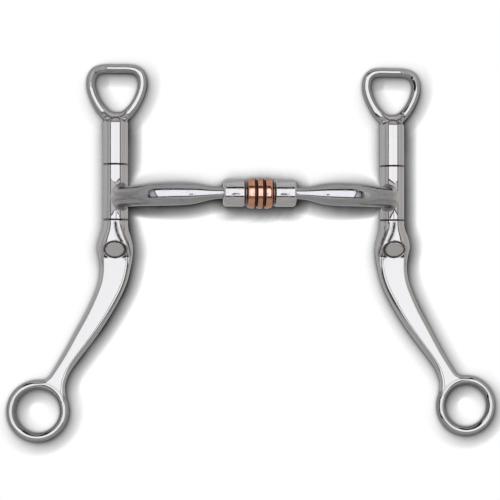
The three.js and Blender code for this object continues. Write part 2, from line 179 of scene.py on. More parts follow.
def surface_nets(field, lo, h):
    s = field < 0
    nx, ny, nz = field.shape
    count = np.zeros((nx - 1, ny - 1, nz - 1), np.int8)
    for dx in (0, 1):
        for dy in (0, 1):
            for dz in (0, 1):
                count += s[dx:nx - 1 + dx, dy:ny - 1 + dy, dz:nz - 1 + dz]
    active = (count > 0) & (count < 8)
    cells = np.argwhere(active)
    index = np.full(active.shape, -1, np.int64)
    index[active] = np.arange(len(cells))
    total = np.zeros((len(cells), 3))
    hits = np.zeros(len(cells))
    ci, cj, ck = cells.T
    for axis in range(3):
        others = [a for a in range(3) if a != axis]
        for a in (0, 1):
            for b in (0, 1):
                o = np.zeros(3, int)
                o[others[0]], o[others[1]] = a, b
                e = o.copy()
                e[axis] = 1
                f0 = field[ci + o[0], cj + o[1], ck + o[2]]
                f1 = field[ci + e[0], cj + e[1], ck + e[2]]
                cross = (f0 < 0) != (f1 < 0)
                t = np.where(cross, f0 / np.where(cross, f0 - f1, 1.0), 0.0)
                p = np.tile(o.astype(float), (len(cells), 1))
                p[:, axis] += t
                total += p * cross[:, None]
                hits += cross
    verts = lo + (cells + total / hits[:, None]) * h
    quads = []
    for axis in range(3):
        b, c = [(axis + 1) % 3, (axis + 2) % 3]
        sl0 = [slice(1, None)] * 3
        sl1 = [slice(1, None)] * 3
        for d in range(3):
            n = field.shape[d]
            if d == axis:
                sl0[d], sl1[d] = slice(0, n - 1), slice(1, n)
            else:
                sl0[d], sl1[d] = slice(1, n - 1), slice(1, n - 1)
        a0, a1 = s[tuple(sl0)], s[tuple(sl1)]
        edges = np.argwhere(a0 != a1)
        inside = a0[tuple(edges.T)]
        base = edges.copy()
        for d in range(3):
            if d != axis:
                base[:, d] += 1
        eb = np.zeros(3, int); eb[b] = 1
        ec = np.zeros(3, int); ec[c] = 1
        q = []
        for o in (-eb - ec, -ec, np.zeros(3, int), -eb):
            cc = base + o
            q.append(index[cc[:, 0], cc[:, 1], cc[:, 2]])
        q = np.stack(q, 1)
        q[~inside] = q[~inside][:, ::-1]
        quads.append(q)
    return verts, np.concatenate(quads)


def gradient(f, p, eps=0.05):
    g = np.empty_like(p)
    for a in range(3):
        d = np.zeros(3)
        d[a] = eps
        g[:, a] = (f(p + d) - f(p - d)) / (2 * eps)
    return g


def solid(f, lo, hi, h, eps=0.05, rounds=4):
    field, lo = field_on_grid(f, lo, hi, h)
    verts, quads = surface_nets(field, lo, h)
    start = verts.copy()
    for _ in range(rounds):
        g = gradient(f, verts, eps)
        gg = np.maximum((g * g).sum(1), 0.05)
        step = g * (f(verts) / gg)[:, None]
        n = np.linalg.norm(step, axis=1, keepdims=True)
        step *= np.minimum(1.0, 0.5 * h / np.maximum(n, 1e-9))
        verts = verts - step
        away = verts - start
        n = np.linalg.norm(away, axis=1, keepdims=True)
        verts = start + away * np.minimum(1.0, 0.95 * h / np.maximum(n, 1e-9))
    g = gradient(f, verts, eps)
    normals = g / np.maximum(np.linalg.norm(g, axis=1, keepdims=True), 1e-9)
    return verts, quads, normals


def spline(points, n, closed=False):
    """Centripetal Catmull-Rom through the points, n samples a span."""
    p = np.asarray(points, float)
    if closed:
        p = np.vstack([p[-1], p, p[0], p[1]])
    else:
        p = np.vstack([2 * p[0] - p[1], p, 2 * p[-1] - p[-2]])
    out = []
    for i in range(1, len(p) - 2):
        p0, p1, p2, p3 = p[i - 1], p[i], p[i + 1], p[i + 2]
        t0 = 0.0
        t1 = t0 + max(np.linalg.norm(p1 - p0), 1e-6) ** 0.5
        t2 = t1 + max(np.linalg.norm(p2 - p1), 1e-6) ** 0.5
        t3 = t2 + max(np.linalg.norm(p3 - p2), 1e-6) ** 0.5
        t = np.linspace(t1, t2, n, endpoint=False)[:, None]
        a1 = (t1 - t) / (t1 - t0) * p0 + (t - t0) / (t1 - t0) * p1
        a2 = (t2 - t) / (t2 - t1) * p1 + (t - t1) / (t2 - t1) * p2
        a3 = (t3 - t) / (t3 - t2) * p2 + (t - t2) / (t3 - t2) * p3
        b1 = (t2 - t) / (t2 - t0) * a1 + (t - t0) / (t2 - t0) * a2
        b2 = (t3 - t) / (t3 - t1) * a2 + (t - t1) / (t3 - t1) * a3
        out.append((t2 - t) / (t2 - t1) * b1 + (t - t1) / (t2 - t1) * b2)
    if not closed:
        out.append(p[-2][None])
    return np.vstack(out)


def segment_distance(q, a, b):
    """Distance from points q (n, d) to the nearest of segments a-b (m, d), and the place along the chain."""
    best = np.full(len(q), 1e9)
    place = np.zeros(len(q))
    ab = b - a
    ll = np.maximum((ab * ab).sum(1), 1e-12)
    for s in range(0, len(q), 20000):
        d = q[s:s + 20000, None, :] - a[None]
        t = np.clip((d * ab[None]).sum(-1) / ll[None], 0, 1)
        r = d - t[..., None] * ab[None]
        dist = (r * r).sum(-1)
        k = dist.argmin(1)
        rows = np.arange(len(k))
        best[s:s + 20000] = np.sqrt(dist[rows, k])
        place[s:s + 20000] = k + t[rows, k]
    return best, place


class Table2D:
    """A 2-D field sampled on a fine grid and read back bilinearly."""

    def __init__(self, lo, hi, h, values_of, soften=0):
        self.lo = np.asarray(lo, float)
        self.h = h
        n = np.ceil((np.asarray(hi) - self.lo) / h).astype(int) + 1
        a, b = np.meshgrid(*[self.lo[i] + np.arange(n[i]) * h for i in range(2)], indexing="ij")
        v = values_of(np.stack([a.ravel(), b.ravel()], 1)).reshape(n)
        for _ in range(soften):
            v = np.pad(v, 1, mode="edge")
            v = (v[:-2] + 2 * v[1:-1] + v[2:]) / 4
            v = (v[:, :-2] + 2 * v[:, 1:-1] + v[:, 2:]) / 4
        self.v = v

    def __call__(self, a, b):
        x = np.clip((a - self.lo[0]) / self.h, 0, self.v.shape[0] - 1.001)
        y = np.clip((b - self.lo[1]) / self.h, 0, self.v.shape[1] - 1.001)
        i, j = x.astype(int), y.astype(int)
        fx, fy = x - i, y - j
        v = self.v
        return (v[i, j] * (1 - fx) * (1 - fy) + v[i + 1, j] * fx * (1 - fy)
                + v[i, j + 1] * (1 - fx) * fy + v[i + 1, j + 1] * fx * fy)


def polygon_distance(q, poly):
    """Signed distance to a closed polygon, negative inside."""
    a, b = poly, np.roll(poly, -1, 0)
    d, _ = segment_distance(q, a, b)
    inside = np.zeros(len(q), bool)
    for (x0, y0), (x1, y1) in zip(a, b):
        c = (y0 > q[:, 1]) != (y1 > q[:, 1])
        if y1 != y0:
            inside ^= c & (q[:, 0] < (x1 - x0) * (q[:, 1] - y0) / (y1 - y0) + x0)
    return np.where(inside, -d, d)


def rounded(points, n=5):
    """Profile [x, r, radius] with each corner turned into an arc."""
    pts = [np.array(p[:2], float) for p in points]
    rad = [p[2] if len(p) > 2 else 0.0 for p in points]
    out = []
    m = len(pts)
    for i in range(m):
        p = pts[i]
        a, b = pts[i - 1], pts[(i + 1) % m]
        if rad[i] <= 0:
            out.append(p)
            continue
        u, v = a - p, b - p
        lu, lv = np.linalg.norm(u), np.linalg.norm(v)
        u, v = u / lu, v / lv
        half = math.acos(max(-1, min(1, float(u @ v)))) / 2
        cut = min(rad[i] / math.tan(half), 0.49 * lu, 0.49 * lv)
        r = cut * math.tan(half)
        c = p + (u + v) / np.linalg.norm(u + v) * (r / math.sin(half))
        s, e = p + u * cut - c, p + v * cut - c
        ang = math.acos(max(-1, min(1, float(s @ e) / (np.linalg.norm(s) * np.linalg.norm(e)))))
        for k in range(n + 1):
            t = k / n
            w0, w1 = math.sin((1 - t) * ang) / math.sin(ang), math.sin(t * ang) / math.sin(ang)
            out.append(c + s * w0 + e * w1)
    return np.array(out)


def turned(name, profile, axis, centre, segments=96, wobble=0.0, seed=0):
    """A turned solid. profile: (n, 2) of place along the axis and radius. It is closed when no radius is zero, or runs from axis to axis."""
    prof = np.asarray(profile, float)
    on_axis = prof[0, 1] < 1e-6 and prof[-1, 1] < 1e-6
    body = prof[1:-1] if on_axis else prof
    ang = np.arange(segments) / segments * 2 * math.pi
    rows = len(body)
    scale = 1.0
    if wobble:
        rng = np.random.RandomState(seed)
        ph = rng.rand(3) * 6.28
        scale = 1 + wobble * (np.sin(2 * ang + ph[0]) * 0.5 + np.sin(3 * ang + ph[1]) * 0.3 + np.sin(5 * ang + ph[2]) * 0.2)
    r = body[:, 1][:, None] * np.ones(segments)[None] * scale
    s = np.repeat(body[:, 0][:, None], segments, 1)
    if axis == "x":
        v = np.stack([s + centre[0], centre[1] + r * np.cos(ang), centre[2] + r * np.sin(ang)], -1)
    else:
        v = np.stack([centre[0] + r * np.cos(ang), centre[1] + r * np.sin(ang), s + centre[2]], -1)
    v = v.reshape(-1, 3)
    i = np.arange(rows - (1 if on_axis else 0))
    i2 = (i + 1) % rows
    j = np.arange(segments)
    j2 = (j + 1) % segments
    a = i[:, None] * segments + j[None]
    b = i2[:, None] * segments + j[None]
    c = i2[:, None] * segments + j2[None]
    d = i[:, None] * segments + j2[None]
    quads = np.stack([a, b, c, d], -1).reshape(-1, 4)
    faces = [quads]
    if on_axis:
        ends = []
        for k, p in ((0, prof[0]), (rows - 1, prof[-1])):
            v = np.vstack([v, [[p[0] + centre[0], centre[1], centre[2]] if axis == "x" else [centre[0], centre[1], p[0] + centre[2]]]])
            apex = len(v) - 1
            ring = k * segments + np.arange(segments)
            nxt = k * segments + (np.arange(segments) + 1) % segments
            tri = np.stack([np.full(segments, apex), ring, nxt], 1)
            if k != 0:
                tri = tri[:, ::-1]
            ends.append(tri)
        faces += ends
    # outward orientation: signed volume positive
    vol = 0.0
    for f in faces:
        p0 = v[f[:, 0]]
        for t in range(1, f.shape[1] - 1):
            vol += (p0 * np.cross(v[f[:, t]], v[f[:, t + 1]])).sum()
    if vol < 0:
        faces = [f[:, ::-1].copy() for f in faces]
    return make_object(name, v, faces)


# =====================================================================================================
# materials
# =====================================================================================================
class Nodes:
    def __init__(self, tree):
        self.t = tree
        tree.nodes.clear()

    def new(self, kind, **props):
        n = self.t.nodes.new(kind)
        for k, v in props.items():
            setattr(n, k, v)
        return n

    def link(self, a, b):
        self.t.links.new(a, b)

    def put(self, socket, value):
        if hasattr(value, "is_linked") or isinstance(value, bpy.types.NodeSocket):
            self.link(value, socket)
        else:
            socket.default_value = value

    def math(self, op, a, b=None, c=None, clamp=False):
        n = self.new("ShaderNodeMath", operation=op, use_clamp=clamp)
        self.put(n.inputs[0], a)
        if b is not None:
            self.put(n.inputs[1], b)
        if c is not None:
            self.put(n.inputs[2], c)
        return n.outputs[0]

    def step(self, x, e0, e1, v0=0.0, v1=1.0):
        n = self.new("ShaderNodeMapRange", interpolation_type="SMOOTHSTEP")
        self.put(n.inputs[0], x)
        n.inputs[1].default_value = e0
        n.inputs[2].default_value = e1
        n.inputs[3].default_value = v0
        n.inputs[4].default_value = v1
        return n.outputs[0]

    def mix(self, fac, a, b):
        n = self.new("ShaderNodeMix", data_type="RGBA")
        self.put(n.inputs[0], fac)
        for s, v in ((n.inputs[6], a), (n.inputs[7], b)):
            if isinstance(v, bpy.types.NodeSocket):
                self.link(v, s)
            else:
                s.default_value = (*v, 1.0)
        return n.outputs[2]

    def noise(self, vec, scale, detail=3.0, rough=0.5, distort=0.0):
        n = self.new("ShaderNodeTexNoise")
        self.link(vec, n.inputs["Vector"])
        n.inputs["Scale"].default_value = scale
        n.inputs["Detail"].default_value = detail
        n.inputs["Roughness"].default_value = rough
        n.inputs["Distortion"].default_value = distort
        return n.outputs["Fac"]

    def mapping(self, vec, scale=(1, 1, 1), rot=(0, 0, 0)):
        n = self.new("ShaderNodeMapping")
        self.link(vec, n.inputs[0])
        n.inputs["Scale"].default_value = scale
        n.inputs["Rotation"].default_value = rot
        return n.outputs[0]


def metal(name, base, rough, dark, scratch=0.3, wave=0.25, grain=(1, 1, 1), mottling=0.1, recess=0.35, extra=None, coat=0.0, painted_shade=None):
    """Polished metal: fine polish scratches, faint hand-finished waviness, mottled tone, recesses dulled and darkened
    as painted shade, brightened edges, and an optional painted shade read from a vertex attribute.
    """
    m = bpy.data.materials.new(name)
    m.use_nodes = True
    N = Nodes(m.node_tree)
    out = N.new("ShaderNodeOutputMaterial")
    bsdf = N.new("ShaderNodeBsdfPrincipled")
    N.link(bsdf.outputs[0], out.inputs[0])
    co = N.new("ShaderNodeTexCoord").outputs["Object"]
    bsdf.inputs["Metallic"].default_value = 1.0
    bsdf.inputs["Coat Weight"].default_value = coat
    bsdf.inputs["Coat IOR"].default_value = 1.8
    bsdf.inputs["Coat Roughness"].default_value = 0.06

    # scratches: three families of stretched noise, thresholded to thin lines
    lines = None
    for k, (sc, rot) in enumerate((((2600, 2600, 90), (0.15, 0.1, 0.0)), ((180, 3000, 3000), (0.0, 0.35, 0.2)), ((2800, 2800, 120), (0.3, -0.9, 0.1)))):
        v = N.mapping(co, scale=tuple(a * b for a, b in zip(sc, grain)), rot=rot)
        n = N.noise(v, 1.0, detail=2.0, rough=0.6)
        ridge = N.step(N.math("ABSOLUTE", N.math("SUBTRACT", n, 0.5)), 0.0, 0.05, 1.0, 0.0)
        gate = N.step(N.noise(co, 160 + 70 * k, detail=1.0), 0.5, 0.66)
        one = N.math("MULTIPLY", ridge, gate)
        lines = one if lines is None else N.math("MAXIMUM", lines, one)
    # tone
    blot = N.noise(co, 95.0, detail=4.0, rough=0.6, distort=0.3)
    fine = N.noise(co, 900.0, detail=3.0, rough=0.6)
    tone = N.math("ADD", N.math("MULTIPLY", blot, 0.65), N.math("MULTIPLY", fine, 0.35))
    tone = N.step(tone, 0.38, 0.62)
    col = N.mix(N.math("MULTIPLY", tone, mottling), base, tuple(c * 0.8 for c in base))
    geo = N.new("ShaderNodeNewGeometry")
    # painted shade: concave places (low pointiness) are darkened towards the dark colour; the same mask also raises
    # roughness there
    hollow_shade_and_dull = N.step(geo.outputs["Pointiness"], 0.5, 0.47)
    col = N.mix(N.math("MULTIPLY", hollow_shade_and_dull, recess), col, dark)
    edge = N.step(geo.outputs["Pointiness"], 0.515, 0.56)
    col = N.mix(N.math("MULTIPLY", edge, 0.35), col, tuple(min(1.0, c * 1.12) for c in base))
    if extra is not None:
        col = extra(N, co, col)
    # painted shade: a per-vertex weight mixes the colour towards the given dark colour
    if painted_shade is not None:
        shade_weight = N.new("ShaderNodeAttribute", attribute_name="painted_shade").outputs["Fac"]
        ragged = N.math("MULTIPLY", shade_weight, N.step(N.noise(co, 1100.0, detail=2.0), 0.30, 0.55, 0.80, 1.05), clamp=True)
        col = N.mix(ragged, col, painted_shade)
    N.link(col, bsdf.inputs["Base Color"])
    # roughness
    r = N.math("ADD", rough, N.math("MULTIPLY", lines, 0.10 * scratch))
    r = N.math("ADD", r, N.math("MULTIPLY", tone, 0.05))
    r = N.math("ADD", r, N.math("MULTIPLY", hollow_shade_and_dull, 0.15))
    N.link(r, bsdf.inputs["Roughness"])
    # bump: scratches, then waviness
    b1 = N.new("ShaderNodeBump")
    b1.inputs["Strength"].default_value = 0.35 * scratch
    b1.inputs["Distance"].default_value = 0.00002
    N.link(N.math("MULTIPLY", lines, -1.0), b1.inputs["Height"])
    b2 = N.new("ShaderNodeBump")
    b2.inputs["Strength"].default_value = wave
    b2.inputs["Distance"].default_value = 0.00006
    N.link(N.noise(co, 210.0, detail=1.5, rough=0.4), b2.inputs["Height"])
    N.link(b2.outputs[0], b1.inputs["Normal"])
    N.link(b1.outputs[0], bsdf.inputs["Normal"])
    return m


SEAMS = [SLEEVE_Z0 - 0.15, SLEEVE_Z1 + 0.15]


def seam_grime(N, co, col):
    """Brown grime that creeps out of the swivel seams at the sleeve's ends."""
    sep = N.new("ShaderNodeSeparateXYZ")
    N.link(co, sep.inputs[0])
    near = None
    for z in SEAMS:
        d = N.math("ABSOLUTE", N.math("SUBTRACT", sep.outputs[2], float(z + ORIGIN[2]) * MM))
        n = N.noise(co, 700.0, detail=2.0)
        d = N.math("SUBTRACT", d, N.math("MULTIPLY", n, 0.00016))
        one = N.step(d, 0.00026, 0.00050, 1.0, 0.0)
        near = one if near is None else N.math("MAXIMUM", near, one)
    return N.mix(near, col, (0.055, 0.025, 0.018))


BASE = (0.725, 0.718, 0.712)
# near-black colour of the painted shade on the loop and the shank
PAINTED_SHADE_COLOUR = (0.016, 0.011, 0.009)
STEEL = metal("polished_steel", BASE, 0.045, (0.30, 0.25, 0.22), scratch=0.6, wave=0.08, mottling=0.06, extra=seam_grime)


def sleeve_seam_grime_and_painted_shade(N, co, col):
    """Seam grime, and painted shade on the front of the sleeve next to the cannon's root: where the surface faces the
    soft box its highlight is darkened, edged with a painted dark rim.
    """
    col = seam_grime(N, co, col)
    sep = N.new("ShaderNodeSeparateXYZ")
    N.link(co, sep.inputs[0])
    face = N.new("ShaderNodeSeparateXYZ")
    N.link(N.new("ShaderNodeNewGeometry").outputs["Normal"], face.inputs[0])
    rise = N.math("SUBTRACT", sep.outputs[2], float(ORIGIN[2] - 0.4) * MM)
    off = N.math("ABSOLUTE", N.math("SUBTRACT", N.math("ABSOLUTE", sep.outputs[0]), CX * MM))
    over = N.math("DIVIDE", rise, N.math("ADD", 0.0052, N.math("MULTIPLY", off, 0.9)))
    under = N.math("DIVIDE", N.math("MULTIPLY", rise, -1.0), N.math("ADD", 0.0074, N.math("MULTIPLY", off, 1.7)))
    reach = N.math("MAXIMUM", over, under)
    reach = N.math("ADD", reach, N.math("MULTIPLY", N.math("SUBTRACT", N.noise(co, 300.0, detail=2.0), 0.5), 0.16))
    turn = N.math("MULTIPLY", N.math("ARCTAN2", face.outputs[0], N.math("MULTIPLY", face.outputs[1], -1.0)), 180 / math.pi)
    turn = N.math("ADD", turn, N.math("ADD", 3.5, N.math("MULTIPLY", N.math("SIGN", sep.outputs[0]), 3.5)))
    front = N.step(N.math("ABSOLUTE", turn), 22.5, 19.5, 0.0, 1.0)
    # painted shade: next to the cannon's root, where the sleeve faces the soft box, the colour is darkened to dull the
    # highlight
    root_shade = N.math("MULTIPLY", N.step(reach, 1.03, 0.96, 0.0, 1.0), front)
    col = N.mix(N.math("MULTIPLY", root_shade, 0.92), col, (0.365, 0.352, 0.345))
    # painted dark rim along the edge of that painted shade
    rim = N.math("ABSOLUTE", N.math("SUBTRACT", reach, 1.02))
    rim = N.math("MULTIPLY", N.step(rim, 0.080, 0.040, 0.0, 1.0), front)
    rim = N.math("MULTIPLY", rim, N.step(N.noise(co, 330.0, detail=1.0), 0.36, 0.48, 0.0, 1.0))
    return N.mix(rim, col, (0.030, 0.024, 0.022))


def loop_seam_grime_and_painted_shade(N, co, col):
    """Seam grime, and painted shade on the strap loop: the outer top corner and the crotch are darkened where they face
    the soft box, taking out their highlight, with a painted dark line at the corner.
    """
    col = seam_grime(N, co, col)
    sep = N.new("ShaderNodeSeparateXYZ")
    N.link(co, sep.inputs[0])
    face = N.new("ShaderNodeSeparateXYZ")
    N.link(N.new("ShaderNodeNewGeometry").outputs["Normal"], face.inputs[0])
    u = N.math("SUBTRACT", N.math("ABSOLUTE", sep.outputs[0]), CX * MM)
    u = N.math("ADD", u, N.math("MULTIPLY", N.math("SUBTRACT", N.noise(co, 500.0, detail=2.0), 0.5), 0.0012))
    turn = N.math("MULTIPLY", N.math("ARCTAN2", face.outputs[0], N.math("MULTIPLY", face.outputs[1], -1.0)), 180 / math.pi)
    turn = N.math("ADD", turn, N.math("ADD", 3.5, N.math("MULTIPLY", N.math("SIGN", sep.outputs[0]), 3.5)))
    lift = N.math("MULTIPLY", N.math("ARCSINE", face.outputs[2]), 180 / math.pi)
    front = N.math("MULTIPLY", N.step(N.math("ABSOLUTE", turn), 25.0, 20.0, 0.0, 1.0), N.step(N.math("ABSOLUTE", N.math("ADD", lift, 1.0)), 19.0, 15.0, 0.0, 1.0))
    where = N.math("MULTIPLY", N.step(u, 0.0044, 0.0052), N.step(sep.outputs[2], float(ORIGIN[2] + 53.6) * MM, float(ORIGIN[2] + 55.4) * MM))
    fork = N.math("MULTIPLY", N.step(sep.outputs[2], float(ORIGIN[2] + 35.9) * MM, float(ORIGIN[2] + 36.3) * MM), N.step(sep.outputs[2], float(ORIGIN[2] + 39.0) * MM, float(ORIGIN[2] + 39.8) * MM, 1.0, 0.0))
    where = N.math("MAXIMUM", where, fork)
    # painted shade: the outer top corner and the crotch are darkened where they face the soft box, taking out their
    # highlight
    col = N.mix(N.math("MULTIPLY", N.math("MULTIPLY", where, front), 0.92), col, (0.40, 0.385, 0.375))
    # painted dark line along the edge of that painted shade at the corner
    painted_edge_line = N.math("MULTIPLY", N.step(N.math("ABSOLUTE", N.math("SUBTRACT", u, 0.0044)), 0.00040, 0.00015, 0.0, 1.0), N.step(sep.outputs[2], float(ORIGIN[2] + 57.0) * MM, float(ORIGIN[2] + 58.0) * MM))
    return N.mix(N.math("MULTIPLY", N.math("MULTIPLY", painted_edge_line, front), 0.8), col, (0.05, 0.035, 0.03))


STEEL_SLEEVE = metal("polished_steel_sleeve", BASE, 0.045, (0.30, 0.25, 0.22), scratch=0.2, wave=0.05, mottling=0.06, extra=sleeve_seam_grime_and_painted_shade)
STEEL_LOOP = metal("polished_steel_loop", BASE, 0.045, (0.30, 0.25, 0.22), scratch=0.2, wave=0.05, mottling=0.10, extra=loop_seam_grime_and_painted_shade, painted_shade=PAINTED_SHADE_COLOUR)
STEEL_SHANK = metal("polished_steel_shank", BASE, 0.040, (0.30, 0.25, 0.22), scratch=0.12, wave=0.025, mottling=0.04, extra=seam_grime, painted_shade=PAINTED_SHADE_COLOUR)
STEEL_TURNED = metal("turned_polished_steel", BASE, 0.03, (0.28, 0.22, 0.19), scratch=0.8, wave=0.10, grain=(0.2, 1, 1))
PIN = metal("pin_steel", (0.26, 0.20, 0.17), 0.34, (0.10, 0.05, 0.03), scratch=1.0, wave=0.1, mottling=0.6)


def cannon_tone_and_painted_light(N, co, col):
    """The cannon's iron takes the sleeve's brighter tone where the weld was polished down; a painted highlight lightens
    the nose and the front, and painted shade with a dark edge line ends the front highlight short of the sleeve.
    """
    sep = N.new("ShaderNodeSeparateXYZ")
    N.link(co, sep.inputs[0])
    dx = N.math("SUBTRACT", N.math("ABSOLUTE", sep.outputs[0]), CX * MM)
    dy = N.math("SUBTRACT", sep.outputs[1], float(ORIGIN[1]) * MM)
    r = N.math("SQRT", N.math("ADD", N.math("MULTIPLY", dx, dx), N.math("MULTIPLY", dy, dy)))
    f = N.step(r, (SHAFT_R + 0.2) * MM, (SHAFT_R + 3.6) * MM, 1.0, 0.0)
    col = N.mix(N.math("MULTIPLY", f, 0.6), col, BASE)
    # painted highlight: a lighter tone on the nose evens out the shading of its lump
    nose = N.step(dx, -0.0035, 0.0025)
    col = N.mix(N.math("MULTIPLY", nose, 0.8), col, (0.84, 0.82, 0.81))
    face = N.new("ShaderNodeSeparateXYZ")
    N.link(N.new("ShaderNodeNewGeometry").outputs["Normal"], face.inputs[0])
    # painted highlight: lighter where the front faces the soft box, away from the sleeve
    painted_highlight = N.math("MULTIPLY", N.step(face.outputs[1], -0.86, -0.93, 0.0, 1.0), N.step(dx, -0.010, -0.016, 0.0, 1.0))
    col = N.mix(N.math("MULTIPLY", painted_highlight, 0.9), col, (0.72, 0.72, 0.74))
    # painted shade: where the front faces the soft box near the sleeve, the highlight is darkened so that it ends short
    # of the sleeve
    tall = N.math("ABSOLUTE", N.math("SUBTRACT", sep.outputs[2], float(ORIGIN[2] - 0.2) * MM))
    start = N.math("ADD", 0.02065, N.math("MULTIPLY", N.math("SIGN", sep.outputs[0]), 0.00165))
    end = N.math("ADD", N.math("ADD", dx, start), N.math("MULTIPLY", tall, 0.55))
    turn = N.math("MULTIPLY", N.math("ARCTAN2", face.outputs[0], N.math("MULTIPLY", face.outputs[1], -1.0)), 180 / math.pi)
    turn = N.math("ADD", turn, N.math("ADD", 3.5, N.math("MULTIPLY", N.math("SIGN", sep.outputs[0]), 3.5)))
    lift = N.math("MULTIPLY", N.math("ARCSINE", face.outputs[2]), 180 / math.pi)
    flat = N.math("MULTIPLY", N.step(N.math("ABSOLUTE", turn), 27.0, 23.0, 0.0, 1.0), N.step(N.math("ABSOLUTE", N.math("SUBTRACT", lift, 1.6)), 20.0, 16.5, 0.0, 1.0))
    col = N.mix(N.math("MULTIPLY", N.math("MULTIPLY", N.step(end, -0.0001, 0.0003, 0.0, 1.0), N.step(dx, -0.0095, -0.0125, 0.0, 1.0)), N.math("MULTIPLY", flat, 0.95)),
                col, (0.30, 0.30, 0.31))
    # painted dark edge line round that painted shade
    painted_edge_line = N.step(N.math("ABSOLUTE", end), 0.00050, 0.00022, 0.0, 1.0)
    return N.mix(N.math("MULTIPLY", N.math("MULTIPLY", painted_edge_line, 0.85), flat), col, (0.045, 0.048, 0.075))


# the last colour given is the dark of the painted shade at the cannon's root
IRON = metal("satin_iron", (0.515, 0.52, 0.53), 0.06, (0.20, 0.18, 0.17), scratch=0.8, wave=0.20, grain=(0.4, 1, 1), mottling=0.4, extra=cannon_tone_and_painted_light, painted_shade=(0.115, 0.095, 0.088))


def copper_oxide_and_painted_light(N, co, col):
    """Dark oxide on the flanks that face the gaps, worn away towards the rims; a painted highlight along the front, and
    painted shade in bands above and below it.
    """
    n = N.new("ShaderNodeTexCoord").outputs["Normal"]
    sep = N.new("ShaderNodeSeparateXYZ")
    N.link(n, sep.inputs[0])
    flank = N.math("ABSOLUTE", sep.outputs[0])
    flank = N.math("ADD", flank, N.math("MULTIPLY", N.math("SUBTRACT", N.noise(co, 800.0, detail=3.0), 0.5), 0.3))
    col = N.mix(N.step(flank, 0.55, 0.90), col, (0.050, 0.012, 0.008))
    spots = N.step(N.noise(co, 420.0, detail=4.0, rough=0.7), 0.60, 0.72)
    col = N.mix(N.math("MULTIPLY", spots, 0.35), col, (0.35, 0.13, 0.07))
    # painted highlight: lighter where the front faces the soft box, away from the flanks
    geo = N.new("ShaderNodeNewGeometry")
    face = N.new("ShaderNodeSeparateXYZ")
    N.link(geo.outputs["Normal"], face.inputs[0])
    painted_highlight = N.math("MULTIPLY", N.step(face.outputs[1], -0.925, -0.965, 0.0, 1.0), N.step(flank, 0.45, 0.25, 0.0, 1.0))
    painted_highlight = N.math("MULTIPLY", painted_highlight, N.step(N.noise(co, 600.0, detail=2.0), 0.25, 0.50, 0.55, 1.0))
    col = N.mix(N.math("MULTIPLY", painted_highlight, 0.66), col, (1.0, 0.78, 0.69))
    # painted shade: a darker band where the normal tilts up or down, narrowing the highlight
    tip = N.math("ABSOLUTE", face.outputs[2])
    side = N.math("MULTIPLY", N.step(tip, 0.20, 0.25, 0.0, 1.0), N.step(tip, 0.36, 0.44, 1.0, 0.0))
    return N.mix(N.math("MULTIPLY", side, 0.75), col, (0.44, 0.185, 0.115))


COPPER = metal("copper", (0.88, 0.43, 0.255), 0.12, (0.16, 0.04, 0.02), scratch=1.0, wave=0.30, grain=(1, 0.3, 0.3), mottling=0.9, recess=0.9,
               extra=copper_oxide_and_painted_light, coat=0.6)


TARNISH = metal("tarnished_steel", (0.105, 0.042, 0.030), 0.42, (0.03, 0.012, 0.010), scratch=0.6, wave=0.1, mottling=0.6)
WASHER = metal("oiled_steel", (0.30, 0.22, 0.20), 0.22, (0.05, 0.03, 0.02), scratch=0.8, wave=0.1, mottling=0.5)


def dress(obj, mat, body, nodes):
    obj.data.materials.clear()
    obj.data.materials.append(mat)
    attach(obj, body)
    if nodes:
        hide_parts(*nodes)
    return obj


# =====================================================================================================
# bridle loop: loop of round bar on a round shaft
# =====================================================================================================
LOOP_R = 2.08                                 # bar radius
TOP = LOOP_HI[2] - 2.04                       # centre line of the loop's top bar
LOOP_LINE = [
    (-6.5, TOP + 0.05), (-0.5, TOP + 0.05), (5.9, TOP - 0.1), (9.8, TOP - 1.3), (11.85, TOP - 4.3), (12.3, TOP - 8.0), (11.4, TOP - 12.2),
    (9.4, TOP - 16.7), (6.5, TOP - 20.7), (3.4, TOP - 23.3), (-0.4, TOP - 24.0), (-4.2, TOP - 23.3), (-7.4, TOP - 20.5), (-10.2, TOP - 16.5),
    (-12.3, TOP - 11.9), (-13.2, TOP - 7.4), (-12.5, TOP - 3.1), (-10.1, TOP - 0.6),
]
loop_curve = spline(LOOP_LINE, 14, closed=True)
loop_table = Table2D((-19, 28), (17, 68), 0.12,
                     lambda q: polygon_distance(q, loop_curve), soften=1)
LOOP_FOOT = LOOP_LO[2]
NECK_Z = 34.9


